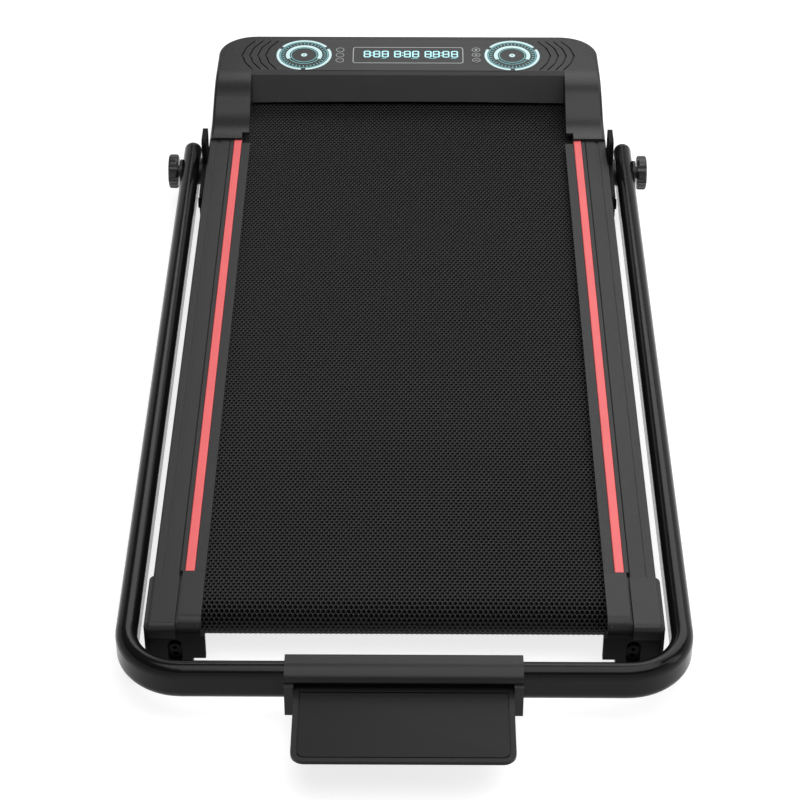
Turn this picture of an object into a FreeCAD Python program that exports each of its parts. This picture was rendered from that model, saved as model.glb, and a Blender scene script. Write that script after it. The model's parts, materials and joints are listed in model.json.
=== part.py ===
"""Walking pad with a folding handrail, built as separate pieces.

Millimetres. +X is the walker's right, +Y runs towards the motor hood, +Z is up.
The origin is on the floor under the middle of the whole machine.
"""
import FreeCAD, Part
import math
import os
from types import SimpleNamespace

import Sketcher
from FreeCAD import Placement, Rotation, Vector

# Driving sizes in millimetres, angles in degrees.
SIZES = {
    # fits
    "running_fit": 0.05,
    "joint_gap": 0.3,
    "seam": 0.2,
    # running belt and rollers
    "belt_width": 408,
    "belt_thickness": 1.6,
    "belt_height": 70,
    "belt_slack": 0.3,
    "roller_radius": 20,
    "roller_wall": 4,
    "roller_overhang": 2,
    "axle_radius": 6,
    "bearing_width": 10,
    # deck
    "deck_gap": 2,
    "deck_thickness": 12,
    "deck_setback": 42,
    "cushion_length": 40,
    "cushion_inset": 32,
    # frame
    "frame_clearance": 24,
    "frame_gap": 5,
    "frame_tube_width": 20,
    "frame_tube_height": 40,
    "frame_tube_wall": 2,
    "frame_nose": 100,
    "crossmember_width": 20,
    "crossmember_height": 22,
    "crossmember_lift": 6,
    "crossmember_margin": 49,
    # side rails with their accent strips
    "rail_lap": 4,
    "rail_width": 52,
    "rail_rise": 8,
    "rail_plate": 4,
    "rail_wall": 3,
    "rail_skirt": 48,
    "rail_lip_gap": 2.5,
    "rail_edge_radius": 2,
    "rail_under_hood": 52,
    "lip_notch": 7,
    "accent_offset": 11,
    "accent_width": 9.7,
    "accent_slack": 0.7,
    "accent_depth": 2,
    "accent_crown": 1.2,
    "groove_offset": 25,
    "groove_width": 1.4,
    "groove_depth": 1,
    "channel_offset": 38,
    "channel_width": 4.6,
    # rear end caps and roller brackets
    "cap_length": 75,
    "cap_reach": 57,
    "cap_overhang": 4,
    "cap_rise": 2,
    "cap_split": 25,
    "cap_groove": 2.4,
    "cap_groove_depth": 4,
    "cap_edge_radius": 7,
    "cap_inner_radius": 13,
    "cap_inner_drop": 2,
    "cap_inner_ahead": 10,
    "cap_inner_setback": 8,
    "cap_wall": 2,
    "bracket_inset": 4,
    "tongue_lift": 11,
    "bracket_gap": 3,
    "tension_offset": 26,
    "tension_travel": 10,
    "tension_bolt_radius": 4,
    "tension_head_radius": 5.5,
    "tension_head_setback": 1,
    "recess_radius": 7,
    "recess_straight": 16,
    "recess_depth": 6,
    "spare_hole_radius": 3,
    # motor hood with its sloping legs
    "hood_wall": 2.8,
    "hood_inset": 0.1,
    "hood_taper": 5.2,
    "hood_corner_radius": 48,
    "hood_nose": 145,
    "hood_front_height": 64,
    "hood_edge_radius": 4,
    "hood_bevel": 74,
    "console_depth": 87,
    "console_height": 120,
    "console_tilt": 2.8,
    "console_lip": 4.4,
    "leg_length": 101,
    "leg_setback": 2.5,
    "leg_notch_width": 8.5,
    "leg_notch_length": 12,
    "leg_toe": 2.6,
    "leg_toe_length": 22,
    "leg_toe_rise": 1,
    "leg_shoulder": 20,
    "leg_toe_radius": 80,
    "leg_shoulder_radius": 90,
    "guard_gap": 4.5,
    "guard_arch": 3,
    "guard_arch_share": 0.7,
    "guard_thickness": 3,
    "pan_thickness": 3,
    "pan_inset": 6,
    "screw_radius": 2,
    "screw_head_radius": 4,
    "screw_head_height": 2.4,
    # console
    "console_centre": 41,
    "overlay_radius": 37,
    "overlay_margin": 115.9,
    "overlay_thickness": 1,
    "overlay_proud": 0.2,
    "key_radius": 5.6,
    "key_pitch": 12.7,
    "key_column": 89,
    "key_proud": 0.5,
    "key_flange": 1.2,
    "key_travel": 0.8,
    "board_length": 208,
    "board_depth": 58,
    "board_thickness": 1.6,
    "switch_height": 1.7,
    "standoff_radius": 3,
    "slot_count": 4,
    "slot_margin": 33.9,
    "slot_pitch": 10.3,
    "slot_width": 2,
    "slot_run": 4.5,
    "slot_run_outer": 15.5,
    "slot_half": 18,
    "slot_half_outer": 35,
    "speaker_radius": 24,
    "speaker_depth": 14,
    "speaker_margin": 53.9,
    # drive
    "motor_radius": 32,
    "motor_length": 140,
    "motor_setback": 12,
    "motor_axis_height": 58,
    "motor_axis_ahead": 80,
    "motor_shield": 9,
    "shaft_radius": 5,
    "fan_radius": 28,
    "fan_width": 10,
    "pulley_width": 14,
    "pulley_gap": 2,
    "pulley_rim": 1.5,
    "roller_pulley_radius": 21,
    "motor_pulley_radius": 10,
    "drive_belt_thickness": 2,
    "drive_belt_width": 10,
    "mount_length": 90,
    "mount_width": 56,
    "mount_height": 20,
    "controller_length": 120,
    "controller_width": 60,
    "controller_height": 34,
    "controller_start": 40,
    "fin_thickness": 3,
    "fin_count": 9,
    "fin_height": 14,
    # power inlet and rocker
    "inlet_margin": 96.7,
    "inlet_width": 54,
    "inlet_height": 26,
    "inlet_depth": 24,
    "inlet_axis_height": 46,
    "inlet_setback": 3,
    "mouth_width": 24,
    "mouth_height": 17,
    "mouth_depth": 15,
    "prong_width": 2,
    "prong_height": 4,
    "prong_pitch": 7,
    "rocker_width": 14,
    "rocker_height": 19,
    "rocker_depth": 8,
    "rocker_pin_radius": 1.5,
    "rocker_tilt": 9,
    # feet and transport wheels
    "foot_width": 36,
    "foot_length": 44,
    "foot_taper": 6,
    "foot_corner_radius": 8,
    "foot_rear_inset": 30,
    "foot_front_gap": 8,
    "wheel_radius": 17,
    "wheel_width": 16,
    "wheel_lift": 3,
    "wheel_ahead": 106,
    "wheel_bore": 4,
    "wheel_tread_radius": 3,
    "fork_plate": 2.5,
    "fork_length": 40,
    "fork_height": 18,
    # folding handrail
    "pivot_from_front": 292,
    "pivot_height": 50,
    "handle_reach": 932,
    "crossbar_gap": 42,
    "hinge_spacer": 5,
    "tube_width": 22,
    "tube_height": 40,
    "tube_wall": 1.8,
    "tube_corner_radius": 58,
    "tube_past_pivot": 33,
    "plug_length": 10,
    "plug_insert": 12,
    "plug_edge_radius": 8,
    "stud_radius": 5,
    "stud_washer_radius": 15,
    "stud_washer": 3,
    "spacer_radius": 17,
    "knob_radius": 21.5,
    "knob_width": 12,
    "knob_edge_radius": 3,
    "knob_collar": 7.5,
    "knob_collar_length": 1.8,
    "knob_lobes": 8,
    "knob_scallop": 5,
    "knob_scallop_depth": 2.6,
    "hinge_plate": 6,
    "hinge_tail": 84,
    "hinge_base_low": 16,
    "hinge_base_high": 16,
    "hinge_upright_half": 18,
    "hinge_upright": 55,
    "hinge_corner_radius": 6,
    "hinge_dish_depth": 3,
    "hinge_dish_wall": 5,
    "hinge_bolt_radius": 4,
    "hinge_bolt_head": 6.5,
    "hinge_bolt_head_height": 2,
    "hinge_bolt_pitch": 34,
    # tablet holder on the crossbar
    "holder_length": 231,
    "holder_back_wall": 3,
    "holder_front_wall": 3,
    "holder_lip": 9,
    "holder_top_wall": 4,
    "holder_bottom_wall": 5,
    "holder_lip_height": 11.5,
    "holder_crown_radius": 8,
    "holder_brow": 12.5,
    "holder_brow_radius": 18,
    "holder_lip_back": 2,
    "holder_lip_drop": 5.9,
    "holder_lip_radius": 11,
    "holder_lip_edge": 0.8,
    "ear_width": 9,
    "ear_margin": 5,
    "tray_length": 116,
    "tray_thickness": 4,
    "tray_rim": 5,
    "tray_back_rim": 3,
    "tray_rise": 4.5,
    "tray_floor_depth": 1.6,
    "tray_corner_radius": 13,
    "tray_pin_radius": 2,
    "tray_pin_ahead": 8.5,
    "tray_tail": 4.6,
}

document = FreeCAD.newDocument("walking_pad")
sheet = document.addObject("Spreadsheet::Sheet", "sizes")


class Size:
    """A number kept together with the sheet expression that gives it."""

    def __init__(self, text, value):
        self.text = text
        self.value = value

    def __add__(self, other):
        other = as_size(other)
        return Size(f"({self.text} + {other.text})", self.value + other.value)

    def __sub__(self, other):
        other = as_size(other)
        return Size(f"({self.text} - {other.text})", self.value - other.value)

    def __mul__(self, other):
        other = as_size(other)
        return Size(f"({self.text} * {other.text})", self.value * other.value)

    def __truediv__(self, other):
        other = as_size(other)
        return Size(f"({self.text} / {other.text})", self.value / other.value)

    def __radd__(self, other):
        return as_size(other) + self

    def __rsub__(self, other):
        return as_size(other) - self

    def __rmul__(self, other):
        return as_size(other) * self

    def __neg__(self):
        return Size(f"(-1 * {self.text})", -self.value)


def as_size(number):
    if isinstance(number, Size):
        return number
    return Size(repr(float(number)), float(number))


def fill_sheet():
    """Write the driving sizes into the sheet and return them by name."""
    named = SimpleNamespace()
    for row, (name, number) in enumerate(SIZES.items(), start=1):
        sheet.set(f"A{row}", name)
        sheet.set(f"B{row}", str(number))
        sheet.setAlias(f"B{row}", name)
        setattr(named, name, Size(f"sizes.{name}", float(number)))
    document.recompute()
    return named


S = fill_sheet()
LEFT, RIGHT = -1, 1

# Places worked out from the driving sizes.
machine_length = S.pivot_from_front + S.handle_reach + S.tray_length
front_y = machine_length / 2
pivot_y = front_y - S.pivot_from_front
crossbar_y = pivot_y - S.handle_reach
tray_end_y = crossbar_y - S.tray_length
front_roller_y = front_y - S.hood_nose
cap_rear_y = crossbar_y + S.crossbar_gap
rear_roller_y = cap_rear_y + S.cap_reach
belt_inner_radius = S.roller_radius + S.belt_slack
belt_outer_radius = belt_inner_radius + S.belt_thickness
roller_z = S.belt_height - belt_outer_radius
roller_half = S.belt_width / 2 + S.roller_overhang
deck_top = S.belt_height - S.belt_thickness - S.belt_slack
deck_bottom = deck_top - S.deck_thickness
rail_inner_x = S.belt_width / 2 - S.rail_lap
rail_outer_x = rail_inner_x + S.rail_width
rail_top = S.belt_height + S.rail_rise
frame_outer_x = rail_outer_x - S.rail_wall - S.frame_gap
frame_inner_x = frame_outer_x - S.frame_tube_width
deck_half = frame_inner_x - S.deck_gap
frame_top = S.frame_clearance + S.frame_tube_height
frame_front_y = front_roller_y + S.frame_nose
hood_half = rail_outer_x - S.hood_inset
nose_half = hood_half - S.hood_taper
leg_inner_x = rail_inner_x + S.leg_setback
console_rear_y = front_y - S.hood_bevel - S.console_depth
leg_end_y = console_rear_y - S.leg_length
console_front_y = front_y - S.hood_bevel
tilt_cos = Size("cos(sizes.console_tilt * 1 deg)", math.cos(math.radians(S.console_tilt.value)))
tilt_sin = Size("sin(sizes.console_tilt * 1 deg)", math.sin(math.radians(S.console_tilt.value)))
tilt_tan = tilt_sin / tilt_cos
console_front_z = S.console_height + S.console_depth * tilt_tan
cap_front_y = cap_rear_y + S.cap_length
frame_rear_y = cap_front_y - S.seam
cap_top = rail_top + S.cap_rise
cap_split_x = rail_inner_x + S.cap_split
cap_inner_front_y = cap_front_y + S.cap_inner_ahead
cap_inner_rear_y = cap_rear_y + S.cap_inner_setback
pan_rear_y = console_rear_y - S.pan_inset
rail_front_y = leg_end_y + S.rail_under_hood
motor_y = front_roller_y + S.motor_axis_ahead
pulley_inner_x = roller_half + S.pulley_gap
motor_start = pulley_inner_x - S.motor_setback
inlet_x = nose_half - S.inlet_margin
bracket_inner_x = rail_outer_x + S.seam
bracket_outer_x = bracket_inner_x + S.hinge_plate
tube_inner_x = bracket_outer_x + S.hinge_spacer
tube_x = tube_inner_x + S.tube_width / 2
tube_outer_x = tube_inner_x + S.tube_width


def bind(item, **expressions):
    for name, size in expressions.items():
        item.setExpression(name, as_size(size).text)


def place(item, x=0, y=0, z=0):
    """Bind the place of an object to the sheet."""
    for axis, size in zip("xyz", (x, y, z)):
        item.setExpression(f"Placement.Base.{axis}", as_size(size).text)
    return item


def box(x, y, z):
    """A block between pairs of coordinates."""
    item = document.addObject("Part::Box", "block")
    low = [as_size(pair[0]) for pair in (x, y, z)]
    high = [as_size(pair[1]) for pair in (x, y, z)]
    flipped = [start.value > end.value for start, end in zip(low, high)]
    spans = [(b, a) if turn else (a, b) for a, b, turn in zip(low, high, flipped)]
    for name, (start, end) in zip(("Length", "Width", "Height"), spans):
        item.setExpression(name, (end - start).text)
    return place(item, *(span[0] for span in spans))


AXIS_TURN = {
    "x": Rotation(Vector(0, 1, 0), 90),
    "y": Rotation(Vector(1, 0, 0), -90),
    "z": Rotation(),
}


def cylinder(axis, radius, length, x, y, z):
    """A round bar that starts at a point and runs along a positive axis."""
    item = document.addObject("Part::Cylinder", "bar")
    item.Placement = Placement(Vector(), AXIS_TURN[axis])
    bind(item, Radius=radius, Height=length)
    return place(item, x, y, z)


BOOLEANS = {"cut": "Part::Cut", "fuse": "Part::Fuse", "common": "Part::Common"}


def join(kind, *items):
    """Cut later items from the first, fuse them, keep what they share, or group them."""
    if kind == "group":
        result = document.addObject("Part::Compound", "group")
        result.Links = list(items)
        return result
    result = items[0]
    for item in items[1:]:
        step = document.addObject(BOOLEANS[kind], kind)
        step.Base = result
        step.Tool = item
        result = step
    return result


NODES = {}


def node(name, item):
    """Name a finished sub-part."""
    item.Label = name
    NODES[name] = item
    return item


def side_name(side):
    return "left" if side == LEFT else "right"


def new_body(x=0, y=0, z=0):
    return place(document.addObject("PartDesign::Body", "body"), x, y, z)


def sketch_on(body, plane, offset=0):
    """A sketch on an origin plane of the body, moved along the plane's normal."""
    sketch = body.newObject("Sketcher::SketchObject", "sketch")
    support = [item for item in body.Origin.OriginFeatures if item.Role == f"{plane}_Plane"]
    sketch.AttachmentSupport = [(support[0], "")]
    sketch.MapMode = "FlatFace"
    sketch.setExpression("AttachmentOffset.Base.z", as_size(offset).text)
    return sketch


def pin_point(sketch, geometry, end, u, v):
    """Hold one point of a sketch at coordinates bound to the sheet."""
    for kind, axis, size in (("DistanceX", -2, as_size(u)), ("DistanceY", -1, as_size(v))):
        if size.value == 0:
            sketch.addConstraint(Sketcher.Constraint("PointOnObject", geometry, end, axis))
            continue
        number = sketch.addConstraint(Sketcher.Constraint(kind, -1, 1, geometry, end, size.value))
        sketch.setExpression(f"Constraints[{number}]", size.text)


def set_radius(sketch, geometry, radius):
    number = sketch.addConstraint(Sketcher.Constraint("Radius", geometry, radius.value))
    sketch.setExpression(f"Constraints[{number}]", radius.text)


def arc_between(centre, radius, start, end):
    """An arc that runs anticlockwise from one point to another."""
    first = math.atan2(start.y - centre.y, start.x - centre.x)
    last = math.atan2(end.y - centre.y, end.x - centre.x)
    if last <= first:
        last += 2 * math.pi
    return Part.ArcOfCircle(Part.Circle(centre, Vector(0, 0, 1), radius), first, last)


def outline(sketch, corners, closed=True):
    """Join corners by lines; a third entry is the radius that rounds a corner."""
    points = [Vector(as_size(corner[0]).value, as_size(corner[1]).value, 0) for corner in corners]
    radii = [as_size(corner[2]) if len(corner) > 2 else None for corner in corners]
    count = len(corners)
    arrive, leave, turns = list(points), list(points), {}
    for index in range(count):
        if radii[index] is None:
            continue
        back = (points[index - 1] - points[index]).normalize()
        ahead = (points[(index + 1) % count] - points[index]).normalize()
        half = back.getAngle(ahead) / 2
        arrive[index] = points[index] + back * (radii[index].value / math.tan(half))
        leave[index] = points[index] + ahead * (radii[index].value / math.tan(half))
        centre = points[index] + (back + ahead).normalize() * (radii[index].value / math.sin(half))
        turns[index] = (centre, ahead.cross(back).z > 0)
    sides = {}
    for index in range(count if closed else count - 1):
        line = Part.LineSegment(leave[index], arrive[(index + 1) % count])
        sides[index] = sketch.addGeometry(line, False)
    for index in range(count):
        before = sides.get((index - 1) % count if closed or index else -1)
        after = sides.get(index)
        if before is None or after is None:
            geometry, end = (after, 1) if before is None else (before, 2)
            pin_point(sketch, geometry, end, *corners[index][:2])
        elif index not in turns:
            sketch.addConstraint(Sketcher.Constraint("Coincident", before, 2, after, 1))
            pin_point(sketch, after, 1, *corners[index][:2])
        else:
            centre, left_turn = turns[index]
            ends = (arrive[index], leave[index]) if left_turn else (leave[index], arrive[index])
            arc = sketch.addGeometry(arc_between(centre, radii[index].value, *ends), False)
            corner = sketch.addGeometry(Part.Point(points[index]), True)
            first, last = (1, 2) if left_turn else (2, 1)
            sketch.addConstraint(Sketcher.Constraint("Tangent", before, 2, arc, first))
            sketch.addConstraint(Sketcher.Constraint("Tangent", after, 1, arc, last))
            sketch.addConstraint(Sketcher.Constraint("PointOnObject", corner, 1, before))
            sketch.addConstraint(Sketcher.Constraint("PointOnObject", corner, 1, after))
            set_radius(sketch, arc, radii[index])
            pin_point(sketch, corner, 1, *corners[index][:2])
    return sketch


def obround(sketch, first, second, radius, far_radius=None):
    """A loop of two arcs and their common tangents around two centres."""
    one = Vector(as_size(first[0]).value, as_size(first[1]).value, 0)
    two = Vector(as_size(second[0]).value, as_size(second[1]).value, 0)
    radius = as_size(radius)
    far_radius = radius if far_radius is None else as_size(far_radius)
    along = (two - one).normalize()
    lean = (radius.value - far_radius.value) / one.distanceToPoint(two)
    across = along.cross(Vector(0, 0, 1)) * math.sqrt(1 - lean * lean)
    low, high = along * lean + across, along * lean - across
    starts = [one + low * radius.value, two + high * far_radius.value]
    ends = [two + low * far_radius.value, one + high * radius.value]
    lower, upper = [sketch.addGeometry(Part.LineSegment(a, b), False) for a, b in zip(starts, ends)]
    far = sketch.addGeometry(arc_between(two, far_radius.value, ends[0], starts[1]), False)
    close = sketch.addGeometry(arc_between(one, radius.value, ends[1], starts[0]), False)
    meets = ((lower, 2, far, 1), (upper, 1, far, 2), (upper, 2, close, 1), (lower, 1, close, 2))
    for line, line_end, arc, arc_end in meets:
        sketch.addConstraint(Sketcher.Constraint("Tangent", line, line_end, arc, arc_end))
    for arc, centre, size in ((close, first, radius), (far, second, far_radius)):
        set_radius(sketch, arc, size)
        pin_point(sketch, arc, 3, *centre)
    return sketch


def circle(sketch, u, v, radius):
    radius = as_size(radius)
    centre = Vector(as_size(u).value, as_size(v).value, 0)
    geometry = sketch.addGeometry(Part.Circle(centre, Vector(0, 0, 1), radius.value), False)
    set_radius(sketch, geometry, radius)
    pin_point(sketch, geometry, 3, u, v)
    return sketch


def pad(body, sketch, length, taper=None):
    feature = body.newObject("PartDesign::Pad", "pad")
    feature.Profile = sketch
    bind(feature, Length=length)
    if taper is not None:
        bind(feature, TaperAngle=taper)
    return feature


def pocket(body, sketch, length, along_normal=False):
    feature = body.newObject("PartDesign::Pocket", "pocket")
    feature.Profile = sketch
    feature.Reversed = along_normal
    bind(feature, Length=length)
    return feature


def fillet(body, base, radius, chosen):
    """Round the edges of the base feature whose bounds pass the test."""
    document.recompute()
    names = []
    for number, edge in enumerate(base.Shape.Edges, start=1):
        if chosen(edge.BoundBox):
            names.append(f"Edge{number}")
    feature = body.newObject("PartDesign::Fillet", "fillet")
    feature.Base = (base, names)
    bind(feature, Radius=radius)
    return feature


def near(one, other):
    return abs(one - as_size(other).value) < 0.01


def turned(profile, y, z, x=0):
    """Turn an outline of (x, radius) corners about an axis along X."""
    body = new_body(x, y, z)
    sketch = outline(sketch_on(body, "XZ"), profile)
    feature = body.newObject("PartDesign::Revolution", "turn")
    feature.Profile = sketch
    feature.ReferenceAxis = (sketch, ["H_Axis"])
    feature.Angle = 360
    return body


def ring(x, inner, outer, y, z):
    """A sleeve or washer between two x coordinates."""
    return turned([(x[0], inner), (x[1], inner), (x[1], outer), (x[0], outer)], y, z)


def rod(x, radius, y, z):
    span = sorted((as_size(x[0]), as_size(x[1])), key=lambda size: size.value)
    return cylinder("x", radius, span[1] - span[0], span[0], y, z)


def on_console(item, x, along, depth=0):
    """Lay an object in the console plane: along it from the rear edge, below its face."""
    item.Placement = Placement(Vector(), Rotation(Vector(1, 0, 0), 0))
    bind(item, **{"Placement.Rotation.Angle": S.console_tilt * Size("1 deg", 1.0)})
    along, depth = as_size(along), as_size(depth)
    y = console_rear_y + along * tilt_cos + depth * tilt_sin
    z = S.console_height + along * tilt_sin - depth * tilt_cos
    return place(item, x, y, z)


def console_disc(radius, x, along, low, high):
    """A round piece square to the console between two depths below its face."""
    item = document.addObject("Part::Cylinder", "disc")
    bind(item, Radius=radius, Height=as_size(low) - high)
    return on_console(item, x, along, low)


def build_frame():
    for side in (LEFT, RIGHT):
        span = (side * frame_inner_x, side * frame_outer_x)
        ends = (frame_rear_y, frame_front_y)
        wall = S.frame_tube_wall
        outer = box(span, ends, (S.frame_clearance, frame_top))
        inner = box(
            (side * (frame_inner_x + wall), side * (frame_outer_x - wall)),
            ends,
            (S.frame_clearance + wall, frame_top - wall),
        )
        axle_hole = rod(span, S.axle_radius + S.running_fit, front_roller_y, roller_z)
        node(f"frame_side_{side_name(side)}", join("cut", outer, inner, axle_hole))


CROSSMEMBER_COUNT = 4


def crossmember_places():
    """Middle of each crossmember along the deck."""
    first = rear_roller_y + S.deck_setback + S.crossmember_margin
    last = front_roller_y - S.deck_setback - S.crossmember_margin
    step = (last - first) / (CROSSMEMBER_COUNT - 1)
    return [first + step * number for number in range(CROSSMEMBER_COUNT)]


def build_crossmembers_and_cushions():
    half = S.crossmember_width / 2
    wall = S.frame_tube_wall
    low = S.frame_clearance + S.crossmember_lift
    high = low + S.crossmember_height
    bars, cushions = [], []
    for y in crossmember_places():
        span = (-frame_inner_x, frame_inner_x)
        outer = box(span, (y - half, y + half), (low, high))
        inner = box(span, (y - half + wall, y + half - wall), (low + wall, high - wall))
        bars.append(join("cut", outer, inner))
        for side in (LEFT, RIGHT):
            middle = side * (deck_half - S.cushion_inset)
            reach = S.cushion_length / 2
            width = (middle - reach, middle + reach)
            cushions.append(box(width, (y - half, y + half), (high, deck_bottom)))
    node("frame_crossmembers", join("group", *bars))
    node("deck_cushions", join("group", *cushions))


def build_deck():
    ends = (rear_roller_y + S.deck_setback, front_roller_y - S.deck_setback)
    node("deck_board", box((-deck_half, deck_half), ends, (deck_bottom, deck_top)))


def rail_section(side):
    """Section of the extruded side rail, from its belt lip out to its skirt."""
    plate_low = rail_top - S.rail_plate
    lip_low = S.belt_height + S.rail_lip_gap
    channel_floor = rail_top - S.groove_depth
    accent_low = rail_top - S.accent_depth
    accent_start = rail_inner_x + S.accent_offset
    accent_end = accent_start + S.accent_width
    groove = rail_inner_x + S.groove_offset
    channel = rail_inner_x + S.channel_offset
    deck_rib = S.belt_width / 2 + S.rail_wall
    frame_rib = frame_inner_x + S.rail_wall
    skirt_low = rail_top - S.rail_skirt
    skirt_inner = rail_outer_x - S.rail_wall
    corners = [
        (rail_inner_x, rail_top),
        (accent_start - S.accent_slack, rail_top),
        (accent_start - S.accent_slack, accent_low),
        (accent_end + S.seam, accent_low),
        (accent_end + S.seam, rail_top),
        (groove, rail_top),
        (groove + S.groove_width / 2, channel_floor),
        (groove + S.groove_width, rail_top),
        (channel, rail_top),
        (channel, channel_floor),
        (channel + S.channel_width, channel_floor),
        (channel + S.channel_width, rail_top),
        (rail_outer_x, rail_top, S.rail_edge_radius),
        (rail_outer_x, skirt_low),
        (skirt_inner, skirt_low),
        (skirt_inner, plate_low),
        (frame_rib + S.rail_wall, plate_low),
        (frame_rib + S.rail_wall, frame_top),
        (frame_rib, frame_top),
        (frame_rib, plate_low),
        (deck_rib + S.rail_wall, plate_low),
        (deck_rib + S.rail_wall, deck_top),
        (deck_rib, deck_top),
        (deck_rib, plate_low),
        (rail_inner_x + S.rail_wall, plate_low),
        (rail_inner_x + S.rail_wall, lip_low),
        (rail_inner_x, lip_low),
    ]
    return [(side * as_size(corner[0]),) + tuple(corner[1:]) for corner in corners]


def build_rails():
    length = rail_front_y - cap_front_y - S.seam
    for side in (LEFT, RIGHT):
        body = new_body()
        pad(body, outline(sketch_on(body, "XZ", -rail_front_y), rail_section(side)), length)
        lip_end = rail_inner_x + S.accent_offset - S.accent_slack - S.seam
        lip_notch = [
            (side * rail_inner_x, leg_end_y - S.lip_notch),
            (side * lip_end, leg_end_y - S.lip_notch),
            (side * lip_end, rail_front_y),
            (side * rail_inner_x, rail_front_y),
        ]
        pocket(body, outline(sketch_on(body, "XY", rail_top), lip_notch), rail_top - deck_top)
        cap_notch = [
            (side * rail_inner_x, cap_front_y),
            (side * (cap_split_x + S.seam), cap_front_y),
            (side * (cap_split_x + S.seam), cap_inner_front_y + S.seam),
            (side * rail_inner_x, cap_inner_front_y + S.seam),
        ]
        pocket(body, outline(sketch_on(body, "XY", rail_top), cap_notch), S.rail_skirt)
        for y in hinge_bolt_places():
            bolt_hole = circle(sketch_on(body, "YZ"), y, S.pivot_height, S.hinge_bolt_radius + S.seam)
            pocket(body, bolt_hole, rail_outer_x + S.rail_wall, along_normal=side == RIGHT)
        node(f"side_rail_{side_name(side)}", body)
        low = rail_top - S.accent_depth
        inner = rail_inner_x + S.accent_offset
        outer = inner + S.accent_width
        strip = new_body()
        corners = [
            (side * inner, low),
            (side * outer, low),
            (side * outer, rail_top, S.accent_crown),
            (side * inner, rail_top, S.accent_crown),
        ]
        strip_length = leg_end_y - cap_inner_front_y - S.seam
        pad(strip, outline(sketch_on(strip, "XZ", -leg_end_y), corners), strip_length)
        node(f"accent_strip_{side_name(side)}", strip)


def build_caps():
    """Rear covers: a raised outer block with a skirt, a lower inner block over the belt edge."""
    outer_x = rail_outer_x + S.cap_overhang
    split_x = cap_split_x
    inner_top = cap_top - S.cap_inner_drop
    skirt_low = rail_top - S.rail_skirt
    belt_clear = S.belt_height + S.rail_lip_gap
    for side in (LEFT, RIGHT):
        body = new_body()
        corners = [
            (side * split_x, frame_top),
            (side * split_x, cap_top),
            (side * outer_x, cap_top),
            (side * outer_x, skirt_low),
            (side * rail_outer_x, skirt_low),
            (side * rail_outer_x, frame_top),
        ]
        block = pad(body, outline(sketch_on(body, "XZ", -cap_front_y), corners), S.cap_length)
        edge = side * outer_x

        def rounded(bounds):
            on_top = near(bounds.ZMin, cap_top) and near(bounds.ZMax, cap_top)
            on_rear = near(bounds.YMin, cap_rear_y) and near(bounds.YMax, cap_rear_y)
            on_side = near(bounds.XMin, edge) and near(bounds.XMax, edge)
            return on_top + on_rear + on_side == 2

        fillet(body, block, S.cap_edge_radius, rounded)
        profile = [
            (cap_inner_front_y, frame_top),
            (cap_inner_front_y, inner_top),
            (cap_inner_rear_y, inner_top, S.cap_inner_radius),
            (cap_inner_rear_y, frame_top),
        ]
        start = rail_inner_x if side == RIGHT else -split_x
        pad(body, outline(sketch_on(body, "YZ", start), profile), S.cap_split)
        seat = [
            (cap_inner_front_y, frame_top),
            (cap_inner_front_y, belt_clear),
            (cap_inner_rear_y + S.cap_wall, belt_clear),
            (cap_inner_rear_y + S.cap_wall, frame_top),
        ]
        relief = roller_half + S.rail_wall - rail_inner_x
        cut_start = rail_inner_x if side == RIGHT else -rail_inner_x
        pocket(body, outline(sketch_on(body, "YZ", cut_start), seat), relief, along_normal=side == RIGHT)
        groove_floor = inner_top - S.cap_groove_depth
        groove = [
            (side * split_x, inner_top),
            (side * (split_x - S.cap_groove), inner_top),
            (side * (split_x - S.cap_groove), groove_floor),
            (side * split_x, groove_floor),
        ]
        groove_length = cap_inner_front_y - cap_inner_rear_y
        sketch = outline(sketch_on(body, "XZ", -cap_inner_front_y), groove)
        pocket(body, sketch, groove_length, along_normal=True)
        node(f"rear_cap_{side_name(side)}", body)


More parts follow.
